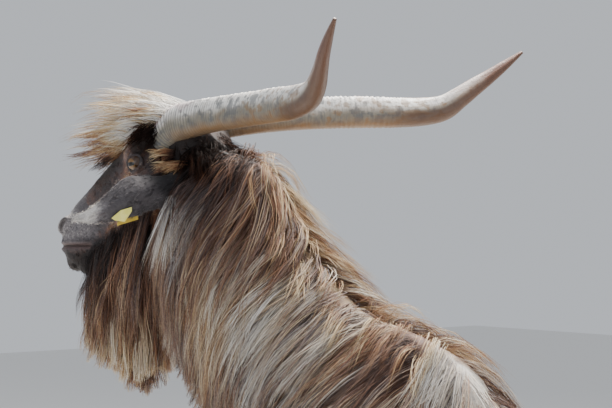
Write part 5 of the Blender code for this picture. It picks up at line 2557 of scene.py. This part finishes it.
def body_pelts() -> list[Pelt]:
    """The falling coat of the body, stretch by stretch.

    Returns:
        The pelts, in the order in which they are made.
    """
    neck = Unwrap((-0.42, -0.12, 1.02), (0.02, -0.06, 0.6))
    trunk = Unwrap((-0.3, -0.06, 0.58), (0.6, -0.06, 0.56))
    rear = Unwrap((0.49, -0.06, 0.64), (0.62, -0.06, 0.81))
    nape = HairFinish("nape_hair", tone=-0.02, warmth=0.4, tip=0.0, gloss=0.04, **EVEN)
    silk = Hairs(count=8, rings=4, width=0.0011, spread=0.008, clump=0.4)
    far = Hairs(count=8, rings=4, width=0.0017, spread=0.0105, clump=0.45)
    frizz = Hairs(count=9, rings=4, width=0.001, spread=0.012, clump=0.25, wave=0.002, stray=0.01)
    regions = (
        ("neck_upper", neck, (0.12, 0.2), (695, 330), (-0.22, -0.15)),
        ("neck_lower", neck, (0.14, 0.2), (690, 330), (-0.45, -0.25)),
        ("shoulders", trunk, (0.13, 0.18), (690, 360), (-0.4, -0.15)),
        ("barrel", trunk, (0.12, 0.16), (480, 310), (-0.05, 0.25)),
        ("rump", trunk, (0.08, 0.13), (340, 290), (0.3, 0.3)),
    )
    brief = (0.05, 0.09)
    pelts = []
    for number, side in enumerate(Side):
        for node, unwrap, length, locks, sweeps in regions:
            hairs = silk if side is Side.LEFT and node != "rump" else far
            name, sweep = f"{node}_{side.value}", (sweeps[number], 0, 0)
            pelts.append(Pelt(name, (node,), unwrap, locks[number], length, side, hairs, sweep=sweep))
    pelts += [
        Pelt(
            "crest",
            ("head", "neck_upper", "neck_lower", "shoulders"),
            neck,
            320,
            (0.08, 0.13),
            hairs=frizz,
            # The crest hair is painted paler, partly as painted light for the sun from behind on the crest.
            finish=HairFinish("crest_hair", tone=0.15, warmth=0.62, tip=0.14, burnt=0.2),
            sweep=(0.28, 0, 0),
            parting=0.8,
            fall=0.75,
            behind=-0.335,
            ridge=0.05,
            lift=0.3,
            scatter=0.12,
        ),
        Pelt("poll", ("head",), neck, 190, brief, None, silk, nape, (0.5, 0, 0), fall=1.2, behind=-0.425),
        Pelt("tail", ("tail",), rear, 100, brief, hairs=far, sweep=(0.55, 0, 0), parting=0.0, fall=-0.8),
    ]
    short = HairFinish("leg_hair", Slot.GREY, root=-0.05, lock_range=0.3, hair_range=0.18)
    tuft = Hairs(count=5, rings=3, width=0.0023, spread=0.007, wave=0.0015, stray=0.0)
    fine = Hairs(count=5, rings=2, width=0.0017, spread=0.0045, wave=0.0006, stray=0.0)
    for leg in ("foreleg_left", "foreleg_right", "hindleg_left", "hindleg_right"):
        low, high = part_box(f"{leg}_upper")
        x, y = (low.x + high.x) / 2, (low.y + high.y) / 2
        unwrap = Unwrap((x, y, high.z), (x, y, 0.0), (1.0, 0.0, 0.0))
        upper, lower = (f"{leg}_upper",), (f"{leg}_cannon", f"{leg}_pastern")
        feet = tuple(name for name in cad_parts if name.startswith(f"{leg}_claw"))
        pelts.append(Pelt(f"{leg}_upper", upper, unwrap, 270, (0.05, 0.08), None, tuft, short, (0.12, 0, 0)))
        nodes, length = lower + feet, (0.016, 0.026)
        pelts.append(Pelt(f"{leg}_lower", nodes, unwrap, 370, length, None, fine, short, overhang=0.006))
    return pelts


# --- The skin, finished


@dataclass
class GoatSkin:
    """The one skin, from the nose to the tail, with what is known of it at each point."""

    pose: HeadPose
    head: HeadSkin
    body: BodySkin
    outline: Outline
    finish: SkinFinish = SkinFinish()
    near_ear: float = 0.0055
    ear_root: float = 0.12
    head_reach: float = 0.082
    head_start: float = -0.02
    too_bare: float = 0.3

    def build(self) -> Outline:
        """Makes the skin in place of the CAD nodes of flesh.

        Returns:
            The skin as a surface for short fur to grow on.
        """
        ears = {side: Ear(side, self.pose) for side in Side}
        leaves = [ear.build() for ear in ears.values()]
        joined = self.body.build(self.outline, self.head.build(), *leaves)
        mesh = joined.data
        discard(joined)
        points = points_of(mesh)
        owner, trim = self._ears(points, ears)
        own = self.pose.own(points)
        line = np.stack([np.clip(own[:, 0], 0.0, 0.285), 0 * own[:, 0], -0.035 - 0 * own[:, 0]], 1)
        on_head = np.linalg.norm(own - line, axis=1) < self.head_reach
        on_head &= own[:, 0] > self.head_start
        owner[on_head & (owner == Region.BODY)] = Region.HEAD
        bare, lip = self.head.bare(points)
        bare *= (owner == Region.HEAD)[:, None]
        trim[:, 1] = lip * (owner == Region.HEAD)
        store(mesh, "bare", bare)
        store(mesh, "trim", trim)
        mesh.shade_smooth()
        skin = new_piece("goat_skin", mesh, self.finish.material(self.pose.head))
        covered = [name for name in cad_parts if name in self.outline.names and "claw" not in name]
        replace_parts(skin, *covered, "ear_left", "ear_right")
        fit = np.where(bare[:, 0] > self.too_bare, Region.BARE, owner)
        names = [region.name.lower() for region in Region]
        return Outline(points, normals_of(mesh), triangles_of(mesh), np.zeros(len(points)), fit, names)

    def _ears(self, points: Array, ears: dict[Side, Ear]) -> tuple[Array, Array]:
        """Which points are on an ear, and how they are trimmed.

        Args:
            points: The skin's points.
            ears: The two ears.

        Returns:
            The owner's number for each point, and a row whose first column is 1 on the back
            of an ear and -1 inside it.
        """
        owner = np.zeros(len(points), int)
        trim = np.zeros((len(points), 3))
        for region, ear in zip((Region.EAR_LEFT, Region.EAR_RIGHT), ears.values()):
            grid, normals, reach, _ = ear.grid()
            shape = grid.shape[:2]
            tree = KDTree(shape[0] * shape[1])
            for index, corner in enumerate(grid.reshape(-1, 3)):
                tree.insert(corner, index)
            tree.balance()
            low, high = grid.min((0, 1)) - 0.02, grid.max((0, 1)) + 0.02
            near = np.where(((points > low) & (points < high)).all(1))[0]
            for index in near:
                spot, cell, distance = tree.find(points[index])
                row, column = divmod(cell, shape[1])
                if distance > self.near_ear or row == 0:
                    continue
                side = float(np.sign((points[index] - np.array(spot)) @ normals[row, column]))
                owner[index] = region if reach[row] > self.ear_root else Region.EAR_ROOT
                trim[index, 0] = side * min(1.0, reach[row] / 0.25)
        return owner, trim


# --- The studio


@dataclass
class Studio:
    """A pale floor, soft lights and the camera."""

    eye: Triple = (1.98703, -1.9288, 1.0)
    right: Triple = (0.6428, 0.766, 0.0)
    lens: float = 117.65
    sensor: float = 36.0
    shift: float = -8 / 612
    middle: Triple = (-0.15, -0.1, 0.95)
    floor: Colour = (0.8, 0.79, 0.77)
    sky: Colour = (0.8, 0.84, 0.9)
    sky_strength: float = 0.72

    def build(self) -> None:
        """Makes the whole studio."""
        right = Vector(self.right).normalized()
        back = right.cross(Vector((0, 0, 1)))
        camera = bpy.data.cameras.new("camera")
        camera.lens = self.lens
        camera.sensor_width = self.sensor
        camera.shift_y = self.shift
        camera.clip_end = 50.0
        viewer = linked("camera", camera)
        turn = Matrix((right, Vector((0, 0, 1)), back)).transposed()
        viewer.matrix_world = Matrix.Translation(self.eye) @ turn.to_4x4()
        bpy.context.scene.camera = viewer
        up = Vector((0, 0, 1))
        self._light("sun_side", -back * 1.3 + right * 0.7 + up * 2.5, 1.2, 375.0, (1.0, 0.96, 0.9))
        self._light("fill", back * 2.6 - right * 1.6 + up, 2.4, 16.0, (0.92, 0.95, 1.0))
        self._light("low_fill", back * 1.8 + right * 2.2 + up * 0.4, 2.0, 12.0, (1.0, 0.97, 0.93))
        self._world()
        self._floor()

    def _light(self, name: str, offset: Vector, size: float, power: float, colour: Colour) -> None:
        """A square soft light that faces the middle of the model.

        Args:
            name: The light's name.
            offset: Where it is from the middle.
            size: The length of its sides.
            power: Its power in watts.
            colour: Its colour.
        """
        lamp = bpy.data.lights.new(name, "AREA")
        lamp.shape = "SQUARE"
        lamp.size = size
        lamp.energy = power
        lamp.color = colour
        obj = linked(name, lamp)
        obj.location = Vector(self.middle) + offset
        obj.rotation_euler = offset.to_track_quat("Z", "Y").to_euler()

    def _world(self) -> None:
        """A pale even sky."""
        world = bpy.data.worlds.new("studio")
        world.use_nodes = True
        backdrop = world.node_tree.nodes["Background"]
        backdrop.inputs["Color"].default_value = (*self.sky, 1.0)
        backdrop.inputs["Strength"].default_value = self.sky_strength
        bpy.context.scene.world = world

    def _floor(self) -> None:
        """A plain pale floor."""
        graph = Graph("pale_floor")
        material = graph.end(base_color=self.floor, roughness=0.85)
        points = np.array([(-9, -9, 0), (9, -9, 0), (9, 9, 0), (-9, 9, 0)], float)
        mesh = new_mesh("floor", points, np.array([[0, 1, 2, 3]]))
        mesh.materials.append(material)
        linked("floor", mesh)


def main() -> None:
    """Builds the goat piece by piece, then the studio."""
    logging.basicConfig(level=logging.INFO, format="%(message)s", stream=sys.stdout)
    pose = HeadPose()
    body = BodySkin()
    outline = body.outline()
    head = HeadSkin(pose)
    skin = GoatSkin(pose, head, body, outline).build()
    for side in Side:
        Horn(side, pose).build()
        Eye(side, pose).build()
    Hooves().build()
    EarTag().build()
    coat = Coat(pose, outline)
    coat.body()
    coat.head(skin)
    log.info("coat: %d triangles", coat.triangles)
    Studio().build()


if __name__ == "__main__":
    main()
